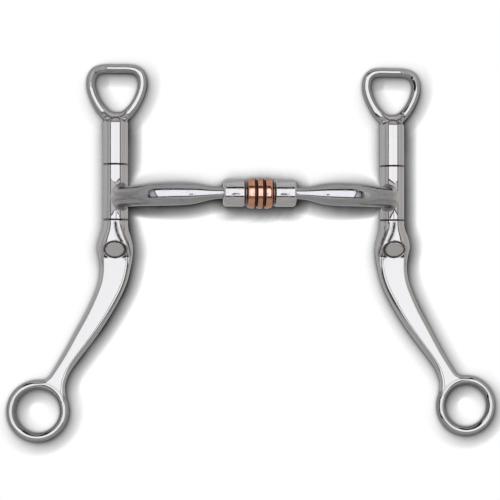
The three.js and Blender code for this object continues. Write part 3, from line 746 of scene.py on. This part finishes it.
def loop_field(p):
    u, y, z = p[:, 0] - CX, p[:, 1], p[:, 2]
    rho = np.hypot(u, y)
    across = loop_table(u, z)                  # in the loop's plane, outward from the bar's centre line
    low = smoothstep(46, 38.5, z)
    bar_r = LOOP_R + 0.35 * low
    bar = np.sqrt(across ** 2 + y * y) - bar_r
    # a rounded ridge runs along the front and back of the bar; it is sharp on the outer top corner and in the crotch
    ya = np.abs(y)
    crotch = smoothstep(-6.2, -4.8, u) * smoothstep(6.8, 5.2, u) * smoothstep(42.0, 40.5, z)
    sharp = np.maximum(smoothstep(3.6, 4.8, u) * smoothstep(51.5, 53.0, z), crotch)
    inner_leg = smoothstep(-6.5, -9.0, u)
    k = np.maximum(0.95 + 0.35 * inner_leg - 0.75 * sharp, 0.2)
    lean = 0.16 * inner_leg
    ridge = smax(ya * 0.857 + (across + lean) * 0.515, ya * 0.857 - (across + lean) * 0.515, k) - (1.87 - 0.20 * sharp + 0.30 * low)
    bar = smax(bar, ridge, 0.35)
    dome = (rho - SHAFT_R) * 0.55 + (z - NECK_Z) * 0.835
    shaft = smax(rho - SHAFT_R, dome, 0.30)
    k = 1.0 + 1.5 * smoothstep(2.5, 5.5, np.abs(u))
    f = smin(bar, shaft, k)
    f = smax(f, LOOP_FOOT - z, 0.15)
    seat = smax(rho - (PIN_R + 0.06), z - PIN_HI[2], 0.1)
    return smax(f, -seat, 0.1)


# =====================================================================================================
# shank: round shaft, bulge with sloped facets, flat bevelled blade, rein ring
# =====================================================================================================
SHANK_TOP = SHANK_HI[2]
bz = np.array([-40, -37, -34, -31.9, -30, -28, -26.4, -24.2, -21.1, -18.3, -16, -13])
b_in = np.array([-5.6, -6.8, -7.75, -8.2, -8.5, -8.6, -8.5, -8.1, -7.25, -6.35, -6.12, -6.1])
b_out = np.array([5.6, 6.9, 7.5, 8.0, 8.5, 8.95, 9.1, 8.85, 7.95, 6.65, 6.15, 6.1])
b_dep = np.array([2.0, 2.3, 2.7, 3.5, 4.75, 5.75, 6.25, 6.55, 6.5, 6.22, 6.12, 6.1])
fine_z = np.linspace(-40, -13, 541)


def smooth_profile(v):
    w = np.interp(fine_z, bz, v)
    k = np.hanning(41)
    k /= k.sum()
    return np.convolve(np.pad(w, 20, mode="edge"), k, mode="valid")


f_in, f_out, f_dep = (smooth_profile(v) for v in (b_in, b_out, b_dep))

INNER = [(-7.5, -28.5), (-7.75, -33.4), (-7.1, -38.4), (-5.9, -43.4), (-4.0, -48.4), (-1.5, -53.4), (1.3, -58.4), (4.3, -63.4), (7.6, -68.4),
         (11.2, -73.4), (15.0, -78.4), (18.8, -83.4), (22.1, -88.0), (23.9, -91.6), (24.85, -95.0), (24.85, -98.0), (24.75, -100.6)]
OUTER = [(39.4, -94.45), (36.9, -93.6), (34.6, -92.45), (32.6, -90.7), (30.8, -87.9), (28.2, -83.4), (25.3, -78.4), (22.5, -73.4), (19.8, -68.4), (17.0, -63.4),
         (14.35, -58.4), (12.0, -53.4), (9.9, -48.4), (8.3, -43.4), (7.55, -38.4), (7.5, -33.4), (7.3, -28.5)]
arc_t = np.linspace(math.radians(159), math.radians(86), 18)
ARC = np.stack([RING_U + 13.0 * np.cos(arc_t), RING_Z + 13.0 * np.sin(arc_t)], 1)
outline = np.vstack([spline(INNER, 16), ARC, spline(OUTER, 16)])
blade_table = Table2D((-14, -110), (46, -22), 0.14, lambda q: polygon_distance(q, outline), soften=4)


OVAL_U, OVAL_Z, OVAL_A, OVAL_B = 0.25, -28.0, 5.15, 3.8
BEAD = [(-1.7, -13.6), (-2.3, -16.5), (-3.2, -19.5), (-4.35, -22.5), (-5.5, -25.5), (-6.3, -28.5), (-6.75, -31.5), (-6.85, -34.5), (-6.45, -38.4),
        (-5.3, -43.4), (-3.4, -48.4), (-0.9, -53.4), (1.9, -58.4), (4.9, -63.4), (8.2, -68.4), (11.8, -73.4), (15.6, -78.4)]
BEAD_IN = [(a - 0.80, b - 0.15) for a, b in BEAD]
BEAD_OUT = [(a + 0.85, b + 0.2) for a, b in BEAD]
_bead = spline(BEAD, 8)
bead_table = Table2D((-14, -84), (20, -8), 0.14, lambda q: segment_distance(q, _bead[:-1], _bead[1:])[0])


def shank_field(p):
    u, y, z = p[:, 0] - CX, np.abs(p[:, 1]), p[:, 2]
    rho = np.hypot(u, y)
    # shaft and bulge
    zi = np.interp(z, fine_z, np.arange(len(fine_z)))
    i = np.clip(zi.astype(int), 0, len(fine_z) - 2)
    t = zi - i
    lo_, hi_, dep = (a[i] * (1 - t) + a[i + 1] * t for a in (f_in, f_out, f_dep))
    c, w = (lo_ + hi_) / 2, (hi_ - lo_) / 2
    q = np.sqrt(((u - c) / w) ** 2 + (y / dep) ** 2) + 1e-9
    gq = np.sqrt(((u - c) / w ** 2) ** 2 + (y / dep ** 2) ** 2) / q + 1e-9
    bulge = (q - 1) / np.maximum(gq, 1.0 / 14)
    bulge = np.where(z > -15.5, np.where(z > -14.0, rho - SHAFT_R, bulge), bulge)
    bulge = smax(bulge, -37.5 - z, 2.0)
    # sloped facet
    facet = (y - 3.0) * 0.919 - (z + 31.9) * 0.394
    # blade
    h = 3.0 - 0.75 * smoothstep(-52, -96, z)
    ch = 2.0 - 0.75 * smoothstep(-80, -96, z)
    d2 = blade_table(u, z)
    cham = (d2 + ch) * 0.66 + (y - h) * 0.751
    blade = smax(y - h, cham, 0.55)
    blade = smax(blade, d2, 0.7)
    blade = smax(blade, z + 29.0, 1.0)
    f = smin(bulge, blade, 1.1)
    # the front of blade and bulge never stands proud of the facet and the blade's flat
    cut = smin(facet, y - h, 0.5)
    f = np.where(z < -21, smax(f, cut, 0.32), f)
    # the facet's outline, a fine groove
    oval = np.hypot((u - OVAL_U) / OVAL_A, (z - OVAL_Z) / OVAL_B)
    line = (oval - 1) * OVAL_B
    f = f + 0.42 * np.exp(-(line / 0.36) ** 2) * smoothstep(1.5, 3.0, y)
    # a low bead that runs down the inner side of the bulge into the blade's inner edge
    bead = bead_table(u, z)
    f = f - 0.26 * np.exp(-(bead / 0.55) ** 2) * smoothstep(1.5, 2.6, y) * smoothstep(-13.3, -16.5, z) * smoothstep(-76.0, -64.0, z) * smoothstep(3.0, 1.5, bead)
    across = np.hypot(u - RING_U, z - RING_Z) - RING_MAJOR
    ring = np.hypot(across, y) - RING_MINOR
    ridge = smax(y * 0.857 + across * 0.515, y * 0.857 - across * 0.515, 0.85) - 1.93
    ring = smax(ring, ridge, 0.3)
    f = smin(f, ring, 1.4)
    # hole kept clean
    f = smax(f, z - SHANK_TOP, 0.15)
    seat = smax(rho - (PIN_R + 0.06), PIN_LO[2] - z, 0.1)
    return smax(f, -seat, 0.1)


# =====================================================================================================
# cannon: swelled bar that bows forward, filleted onto the sleeve
# =====================================================================================================
CANNON = np.array([
    [71.4, -3.0, -2.1, 4.75], [68.0, -4.9, -2.1, 4.85], [64.5, -7.3, -2.0, 4.9], [61.0, -9.8, -1.85, 5.0],
    [57.5, -12.3, -1.65, 5.15], [54.2, -14.4, -1.45, 5.35], [50.8, -16.0, -1.3, 5.5], [47.0, -17.1, -1.2, 5.58],
    [43.0, -17.85, -1.12, 5.6], [38.6, -18.5, -1.05, 5.55], [34.0, -19.05, -1.0, 5.27], [31.4, -19.3, -0.95, 4.95],
    [29.0, -19.5, -0.9, 4.45], [26.5, -19.7, -0.85, 3.85], [24.2, -19.85, -0.8, 3.35], [21.8, -19.95, -0.75, 2.98],
    [19.4, LINK_Y, LINK_Z, 2.78], [17.0, LINK_Y, LINK_Z, 2.7], [14.0, LINK_Y, LINK_Z, 2.7], [BUT_LO[0] + 0.6, LINK_Y, LINK_Z, 2.7],
])
can_curve = spline(CANNON, 7)
can_a, can_b = can_curve[:-1, :3], can_curve[1:, :3]
can_r = can_curve[:, 3].copy()
for _ in range(3):
    can_r[1:-1] = (can_r[:-2] + 2 * can_r[1:-1] + can_r[2:]) / 4


def plan_place(q):
    return segment_distance(q, can_a[:, :2], can_b[:, :2])[1]


can_t = Table2D((5, -32), (82, 12), 0.5, plan_place)


def cannon_field(p):
    place = can_t(p[:, 0], p[:, 1])
    steps = np.arange(len(can_r))
    r = np.interp(place, steps, can_r)
    zc = np.interp(place, steps, can_curve[:, 2])
    qx = p[:, 0] - np.interp(place, steps, can_curve[:, 0])
    qy = p[:, 1] - np.interp(place, steps, can_curve[:, 1])
    bar = np.sqrt(qx * qx + qy * qy + (p[:, 2] - zc) ** 2) - r
    bar = smax(bar, (BUT_LO[0] + 0.6) - p[:, 0], 0.2)
    u, y, z = p[:, 0] - CX, p[:, 1], p[:, 2]
    rho = np.hypot(u, y)
    sleeve = rho - (SHAFT_R - 0.045)
    f = smin(bar, sleeve, 3.0)
    f = smax(f, -(rho - (SHAFT_R - 1.3)), 0.2)
    f = smax(f, bar - 2.6, 0.4)
    nose = (np.hypot(np.maximum(u + 6.0, 0.0) / 8.4, (z + 2.0) / 7.9) - 1) * 7.9
    return smax(f, nose, 0.5)


def build_pair(base, field, lo, hi, h, mat, bodies, nodes, eps=0.05, painted_shade=None):
    v, q, n = solid(field, lo, hi, h, eps)
    right = make_object("right_" + base, v, q, n)
    dress(right, mat, bodies[0], ["right_" + x for x in nodes])
    v2, q2, n2 = mirror_x(v, q, n)
    left = make_object("left_" + base, v2, q2, n2)
    dress(left, mat, bodies[1], ["left_" + x for x in nodes])
    # per-vertex painted shade weight, stored as a mesh attribute
    if painted_shade is not None:
        shade_weight = np.clip(painted_shade(v), 0, 1).astype(np.float32)
        for o in (right, left):
            if len(o.data.vertices) == len(shade_weight):
                o.data.attributes.new("painted_shade", "FLOAT", "POINT").data.foreach_set("value", shade_weight)
    return right, left


def lines_of(q, pts, width):
    """How close plane points lie to a curve: 1 on it, 0 beyond its width."""
    c = spline(pts, 8)
    d, _ = segment_distance(q, c[:-1], c[1:])
    return np.exp(-(d / width) ** 2)


# painted shade on the loop: darker flanks either side of the bar's front, and dark crease and arc lines at the crotch
def loop_painted_shade(p):
    u, y, z = p[:, 0] - CX, p[:, 1], p[:, 2]
    across = loop_table(u, z)
    off = np.abs(across) / LOOP_R
    ring_part = smoothstep(36.5, 40.0, z)
    flank = smoothstep(0.30, 0.95, off) * np.where(across > 0, 0.36, 0.50) * ring_part
    edge = np.exp(-((off - 0.46) / 0.12) ** 2) * np.where(across > 0, 0.35, 0.60) * smoothstep(41.0, 45.0, z)
    bar = np.abs(np.hypot(across, y) - LOOP_R - 0.3)
    crease = lines_of(np.stack([u, z], 1), [(-6.6, 37.2), (-3.6, 35.6), (0.0, 35.0), (3.6, 35.6), (6.6, 37.6)], 0.38) * 0.55
    arc = lines_of(np.stack([u, z], 1), [(-5.2, 40.2), (-3.0, 38.1), (0.0, 37.2), (3.2, 37.9), (5.8, 40.2)], 0.34) * 0.85
    return np.maximum(np.maximum(flank, edge), np.maximum(crease, arc) * smoothstep(-0.5, -1.5, -np.abs(y)))


# painted shade on the shank: dark lines round the facet and its wedges, along both sides of the bead, and darker flanks
# on the ring
def shank_painted_shade(p):
    u, y, z = p[:, 0] - CX, np.abs(p[:, 1]), p[:, 2]
    q = np.stack([u, z], 1)
    front = smoothstep(1.5, 2.6, y)
    oval = np.hypot((u - OVAL_U) / OVAL_A, (z - OVAL_Z) / OVAL_B)
    line = (oval - 1) * OVAL_B
    wide = 0.42 + 0.18 * smoothstep(-1.0, -4.0, u) + 0.10 * smoothstep(-27.0, -24.0, z)
    shade_weight = np.exp(-(line / wide) ** 2) * 0.97
    wedge = smoothstep(0.2, 0.8, line) * smoothstep(3.1, 3.9, np.abs(u - OVAL_U)) * smoothstep(-32.6, -31.8, z) * smoothstep(-28.0, -29.5, z)
    wedge = wedge * smoothstep(5.6, 5.0, np.abs(u - OVAL_U)) * 0.85
    shade_weight = np.maximum(shade_weight, wedge)
    shade_weight = np.maximum(shade_weight, lines_of(q, [(0.0, -13.6), (-0.35, -17.0), (-1.3, -20.5), (-2.9, -23.8)], 0.80) * 1.0 * smoothstep(-13.2, -15.0, z))
    shade_weight = np.maximum(shade_weight, lines_of(q, BEAD_IN, 0.36) * 0.80 * smoothstep(-17.0, -23.0, z))
    shade_weight = np.maximum(shade_weight, lines_of(q, BEAD_OUT, 0.34) * 0.85 * smoothstep(-27.0, -31.0, z) * smoothstep(-70.0, -52.0, z))
    shade_weight = shade_weight * front
    across = np.hypot(u - RING_U, z - RING_Z) - RING_MAJOR
    on_ring = smoothstep(0.8, 0.3, np.abs(np.hypot(across, y) - RING_MINOR)) * smoothstep(-90.0, -94.0, z)
    flank = smoothstep(0.14, 0.80, np.abs(across) / RING_MINOR) * np.where(across > 0, 0.40, 0.62) * on_ring
    return np.maximum(shade_weight, flank)


# painted shade at the cannon's root, just above and below where it meets the sleeve
def cannon_painted_shade(p):
    u, y, z = p[:, 0] - CX, p[:, 1], p[:, 2]
    top = np.hypot((u + 2.6) / 3.6, (z - 3.9) / 1.9)
    low = np.hypot((u + 3.6) / 4.6, (z + 7.2) / 2.1)
    shade_weight = np.maximum(smoothstep(1.1, 0.4, top), smoothstep(1.1, 0.4, low)) * 0.66
    return shade_weight * smoothstep(2.0, -1.0, y)


H = 0.32
build_pair("bridle_loop_forging", loop_field, (CX - 17.5, -7.4, LOOP_FOOT - 1.0), (CX + 15.5, 7.4, LOOP_HI[2] + 1.2), H, STEEL_LOOP,
           ("right_cheek", "left_cheek"), ["bridle_loop"], eps=0.06, painted_shade=loop_painted_shade)
build_pair("shank_casting", shank_field, (CX - 10.5, -8.2, SHANK_LO[2] - 1.2), (SHANK_HI[0] + 1.2, 8.2, SHANK_TOP + 1.0), H, STEEL_SHANK,
           ("right_cheek", "left_cheek"), ["shank"], eps=0.09, painted_shade=shank_painted_shade)
build_pair("cannon_bar", cannon_field, (BUT_LO[0] - 1.0, -27.2, -12.5), (CX + 7.4, 6.0, 8.5), H, IRON,
           ("right_half", "left_half"), ["cannon"], eps=0.06, painted_shade=cannon_painted_shade)


# =====================================================================================================
# turned pieces
# =====================================================================================================
def pair_turned(base, profile, axis, centre, mat, bodies, node, segments=96, wobble=0.0, seed=1):
    for side, sign in (("right", 1), ("left", -1)):
        prof = np.array(profile, float)
        c = list(centre)
        if axis == "x":
            prof[:, 0] *= sign
        c[0] *= sign
        o = turned(f"{side}_{base}", prof, axis, c, segments, wobble, seed + (sign > 0))
        dress(o, mat, bodies[0] if sign > 0 else bodies[1], [f"{side}_{node}"])


CHEEKS = ("right_cheek", "left_cheek")
HALVES = ("right_half", "left_half")
LINK = ("centre_link", "centre_link")

pair_turned("cheek_sleeve_tube", rounded([
    (SLEEVE_Z0, 3.62, 0.2), (SLEEVE_Z0, SHAFT_R, 0.10), (SLEEVE_Z1, SHAFT_R, 0.10), (SLEEVE_Z1, 3.62, 0.2)]),
    "z", (CX, 0, 0), STEEL_SLEEVE, HALVES, "cheek_sleeve", 160)
pair_turned("cheek_spindle_pin", rounded([
    (PIN_LO[2], 0), (PIN_LO[2], PIN_R, 0.5), (PIN_HI[2], PIN_R, 0.5), (PIN_HI[2], 0)]),
    "z", (CX, 0, 0), PIN, CHEEKS, "cheek_spindle", 64)

a, b = COL_LO[0], COL_HI[0]
pair_turned("collar_cup", rounded([
    (a, 4.95, 0.15), (a, COL_R - 0.02, 0.65), (b, COL_R + 0.03, 1.35), (b, 2.95, 0.35),
    (b - 2.2, 2.95, 0.1), (b - 2.2, 4.95, 0.2)], 8),
    "x", (0, LINK_Y, LINK_Z), STEEL_TURNED, LINK, "collar", 128)
pair_turned("neck_button_head", rounded([
    (BUT_LO[0], 0), (BUT_LO[0], 4.55, 0.8), (BUT_HI[0], 4.55, 0.3), (BUT_HI[0], 2.78, 0.1), (BUT_LO[0] + 0.35, 2.78), (BUT_LO[0] + 0.35, 0)]),
    "x", (0, LINK_Y, LINK_Z), IRON, HALVES, "neck_button", 64)
pair_turned("axle_plug_disc", rounded([
    (PLUG_LO[0], 3.26, 0.15), (PLUG_LO[0], 4.85, 0.25), (PLUG_HI[0], 4.85, 0.25), (PLUG_HI[0], 3.26, 0.15)]),
    "x", (0, LINK_Y, LINK_Z), PIN, LINK, "axle_plug", 64)
pair_turned("flange_washer_disc", rounded([
    (FLG_LO[0], 3.35, 0.08), (FLG_LO[0], 6.05, 0.18), (FLG_HI[0], 6.05, 0.18), (FLG_HI[0], 3.35, 0.08)]),
    "x", (0, LINK_Y, LINK_Z), WASHER, LINK, "flange_washer", 128)
pair_turned("ring_spacer_washer", rounded([
    (SPC_LO[0], 3.35, 0.1), (SPC_LO[0], 6.55, 0.2), (SPC_HI[0], 6.55, 0.2), (SPC_HI[0], 3.35, 0.1)]),
    "x", (0, LINK_Y, LINK_Z), TARNISH, LINK, "ring_spacer", 96)

x0, x1 = CRO_LO[0], CRO_HI[0]
pair_turned("copper_roller_ring", rounded([
    (x0, 3.35, 0.2), (x0, 7.46, 0.35), (x0 + 1.8, 7.40, 6.0), (x1 - 0.35, 6.95, 0.7), (x1, 6.3, 0.4), (x1, 3.35, 0.2)], 8),
    "x", (0, LINK_Y, LINK_Z), COPPER, ("right_roller", "left_roller"), "copper_ring", 160, wobble=0.004, seed=3)
x0, x1 = CRC_LO[0], CRC_HI[0]
o = turned("centre_copper_roller_ring", rounded([
    (x0, 3.35, 0.2), (x0, 7.4, 0.42), (0.0, 7.5, 8.0), (x1, 7.4, 0.42), (x1, 3.35, 0.2)], 8), "x", (0, LINK_Y, LINK_Z), 160, 0.004, 8)
dress(o, COPPER, "centre_roller", ["centre_copper_ring"])
o = turned("roller_axle_pin", rounded([
    (AXL_LO[0], 0), (AXL_LO[0], 3.2, 0.5), (AXL_HI[0], 3.2, 0.5), (AXL_HI[0], 0)]), "x", (0, LINK_Y, LINK_Z), 64)
dress(o, PIN, "centre_link", ["roller_axle"])


# =====================================================================================================
# stage
# =====================================================================================================
def shade_material():
    """A sheet that only darkens what is seen through it, where the bit stands close in front: the soft shadow round every part."""
    m = bpy.data.materials.new("shade_sheet")
    m.use_nodes = True
    N = Nodes(m.node_tree)
    out = N.new("ShaderNodeOutputMaterial")
    tr = N.new("ShaderNodeBsdfTransparent")
    ao = N.new("ShaderNodeAmbientOcclusion", samples=12)
    ao.inputs["Distance"].default_value = 0.0074
    nrm = N.new("ShaderNodeCombineXYZ")
    tilt = Vector((-0.36, -1.0, 0.42)).normalized()
    for k in range(3):
        nrm.inputs[k].default_value = tilt[k]
    N.link(nrm.outputs[0], ao.inputs["Normal"])
    open_part = N.math("POWER", ao.outputs["AO"], 4.1)
    # only when seen roughly from the front
    geo = N.new("ShaderNodeNewGeometry")
    dot = N.new("ShaderNodeVectorMath", operation="DOT_PRODUCT")
    N.link(geo.outputs["Incoming"], dot.inputs[0])
    dot.inputs[1].default_value = (0.0, -1.0, 0.0)
    front = N.step(dot.outputs["Value"], 0.35, 0.85)
    co = N.new("ShaderNodeTexCoord").outputs["Object"]
    grain = N.step(N.noise(co, 45.0, detail=3.0), 0.35, 0.65, 0.94, 1.0)
    shade = N.math("SUBTRACT", 1.0, N.math("MULTIPLY", N.math("MULTIPLY", N.math("SUBTRACT", 1.0, open_part), front), grain))
    cmb = N.new("ShaderNodeCombineColor")
    N.link(shade, cmb.inputs[0])
    N.link(N.math("MULTIPLY", shade, 0.995), cmb.inputs[1])
    N.link(N.math("MULTIPLY", shade, 0.99), cmb.inputs[2])
    warm = N.mix(shade, (0.0, 0.0, 0.0), (1.0, 1.0, 1.0))
    N.link(warm, tr.inputs[0])
    N.link(tr.outputs[0], out.inputs[0])
    return m


def sheet():
    """A height field that follows the bit just behind its outline."""
    pts = []                                   # x, z, back y, weight radius
    for sx in (1, -1):
        for u, z in loop_curve[::6]:
            pts.append((sx * (CX + u), z, 0.5, 2.0))
        for z in np.arange(-33, 36, 2.0):
            pts.append((sx * CX, z, 1.6, 6.0))
        for k in range(2, 13):
            a_, b_ = np.array(INNER[k]), np.array(OUTER[len(OUTER) - 1 - k])
            m_ = (a_ + b_) / 2
            pts.append((sx * (CX + m_[0]), m_[1], 0.9, 6.0))
        for t in np.linspace(0, 2 * math.pi, 24, endpoint=False):
            pts.append((sx * (CX + RING_U + RING_MAJOR * math.cos(t)), RING_Z + RING_MAJOR * math.sin(t), 0.5, 2.0))
        for x, y, z, r in can_curve[::6]:
            if x < CX - 5:
                pts.append((sx * x, z, y + 1.0, r))
        for x in np.arange(0, 17, 2.0):
            pts.append((sx * x, LINK_Z, LINK_Y + 1.2, 6.5))
    pts = np.array(pts)
    xs = np.arange(-176, 177, 1.6)
    zs = np.arange(-146, 92, 1.6)
    gx, gz = np.meshgrid(xs, zs, indexing="ij")
    g = np.stack([gx.ravel(), gz.ravel()], 1)
    d = np.hypot(g[:, None, 0] - pts[None, :, 0], g[:, None, 1] - pts[None, :, 1])
    d = np.maximum(d - pts[None, :, 3] * 0.5, 0.0)
    w = 1.0 / (d * d + 1.5) ** 2
    y = (w * pts[None, :, 2]).sum(1) / w.sum(1)
    verts = np.stack([g[:, 0], y, g[:, 1]], 1)
    n, m = len(xs), len(zs)
    i, j = np.meshgrid(np.arange(n - 1), np.arange(m - 1), indexing="ij")
    q = np.stack([i * m + j, (i + 1) * m + j, (i + 1) * m + j + 1, i * m + j + 1], -1).reshape(-1, 4)
    o = make_object("shade_sheet", verts, q)
    o.data.materials.append(shade_material())
    o.visible_glossy = False
    o.visible_diffuse = False
    o.visible_transmission = False
    o.visible_volume_scatter = False
    o.visible_shadow = False


sheet()

# =====================================================================================================
# camera
# =====================================================================================================
YAW = math.radians(5.3)
DIST = 0.5704
cam_data = bpy.data.cameras.new("camera")
cam_data.sensor_width = 36.0
cam_data.lens = 1136.1 / 500.0 * 36.0
cam_data.clip_start = 0.01
cam = bpy.data.objects.new("camera", cam_data)
bpy.context.scene.collection.objects.link(cam)
view = Vector((math.sin(YAW), math.cos(YAW), 0.0))
right = Vector((math.cos(YAW), -math.sin(YAW), 0.0))
cam.location = at(0, 0, -28.2) - view * DIST - right * 0.00269
cam.rotation_euler = (math.pi / 2, 0.0, -YAW)
bpy.context.scene.camera = cam

# ===================================================================================================== light: a studio seen only in reflections, plain white for camera rays, and soft white for all other rays
# light: a studio seen only in reflections, and soft lamps that light the stage
# =====================================================================================================
world = bpy.data.worlds.new("studio")
bpy.context.scene.world = world
world.use_nodes = True
N = Nodes(world.node_tree)
out = N.new("ShaderNodeOutputWorld")
lp = N.new("ShaderNodeLightPath")
gen = N.new("ShaderNodeTexCoord").outputs["Generated"]
vt = N.new("ShaderNodeVectorTransform", vector_type="VECTOR", convert_from="WORLD", convert_to="CAMERA")
N.link(gen, vt.inputs[0])
sep = N.new("ShaderNodeSeparateXYZ")
N.link(vt.outputs[0], sep.inputs[0])
X, Y, Z = sep.outputs
az = N.math("MULTIPLY", N.math("ARCTAN2", X, N.math("MULTIPLY", Z, -1.0)), 180 / math.pi)
el = N.math("MULTIPLY", N.math("ARCSINE", Y), 180 / math.pi)
aaz = N.math("ABSOLUTE", az)


def inside(x, lo, hi, soft):
    return N.math("MULTIPLY", N.step(x, lo - soft, lo + soft), N.step(x, hi - soft, hi + soft, 1.0, 0.0))


vec = N.new("ShaderNodeCombineXYZ")
N.link(N.math("MULTIPLY", az, 0.085), vec.inputs[0])
N.link(N.math("MULTIPLY", el, 0.018), vec.inputs[1])
streak = N.noise(vec.outputs[0], 1.0, detail=4.0, rough=0.65)
grey = N.mix(N.step(el, -50, 8), (0.455, 0.440, 0.425), (0.565, 0.553, 0.545))
grey = N.mix(N.step(el, 25, 70), grey, (0.640, 0.630, 0.625))
grey = N.mix(N.step(aaz, 125, 175), grey, (0.46, 0.455, 0.45))
cool = N.step(az, -60, 60, 1.0, 0.0)
grey = N.mix(N.math("MULTIPLY", cool, 0.5), grey, (0.50, 0.51, 0.53))
grey = N.mix(N.math("MULTIPLY", N.step(streak, 0.56, 0.40), 0.36), grey, (0.20, 0.18, 0.17))
grey = N.mix(N.math("MULTIPLY", N.step(streak, 0.58, 0.70), 0.30), grey, (0.85, 0.84, 0.83))
line = N.math("MAXIMUM", inside(az, 94, 101, 2.0), inside(az, -77, -69, 2.0))
grey = N.mix(N.math("MULTIPLY", line, 0.45), grey, (0.15, 0.13, 0.12))
border = N.math("MULTIPLY", inside(az, -45, 53, 0.8), inside(el, -34, 53, 0.8))
box = N.math("MULTIPLY", inside(az, -38, 46, 0.5), inside(el, -24, 36, 0.5))
col = N.mix(border, grey, (0.022, 0.014, 0.016))
fold = N.step(N.noise(vec.outputs[0], 2.3, detail=2.0), 0.35, 0.65, 0.0, 1.0)
col = N.mix(box, col, N.mix(fold, (1.15, 1.15, 1.20), (1.22, 1.22, 1.26)))
# the camera, a dark shape in front of the soft box, and a fold in its cloth
lens = N.math("SQRT", N.math("ADD", N.math("POWER", N.math("DIVIDE", N.math("SUBTRACT", az, 11.0), 3.1), 2.0), N.math("POWER", N.math("DIVIDE", N.math("SUBTRACT", el, -9.5), 9.5), 2.0)))
blob = N.step(lens, 0.86, 1.08, 0.97, 0.0)
stem = N.math("MULTIPLY", N.step(N.math("ABSOLUTE", N.math("SUBTRACT", az, 4.0)), 0.8, 2.2, 0.12, 0.0), inside(el, 3, 34, 2.0))
dark = N.math("MAXIMUM", blob, stem)
col = N.mix(dark, col, (0.030, 0.030, 0.060))
bg_gloss = N.new("ShaderNodeBackground")
N.link(col, bg_gloss.inputs[0])
bg_dif = N.new("ShaderNodeBackground")
bg_dif.inputs[0].default_value = (1, 1, 1, 1)
bg_dif.inputs[1].default_value = 0.75
bg_cam = N.new("ShaderNodeBackground")
bg_cam.inputs[0].default_value = (1, 1, 1, 1)
bg_cam.inputs[1].default_value = 1.0
m1 = N.new("ShaderNodeMixShader")
N.link(lp.outputs["Is Glossy Ray"], m1.inputs[0])
N.link(bg_dif.outputs[0], m1.inputs[1])
N.link(bg_gloss.outputs[0], m1.inputs[2])
m2 = N.new("ShaderNodeMixShader")
N.link(lp.outputs["Is Camera Ray"], m2.inputs[0])
N.link(m1.outputs[0], m2.inputs[1])
N.link(bg_cam.outputs[0], m2.inputs[2])
N.link(m2.outputs[0], out.inputs[0])


bpy.context.scene.view_settings.view_transform = "Standard"
bpy.context.scene.view_settings.look = "None"
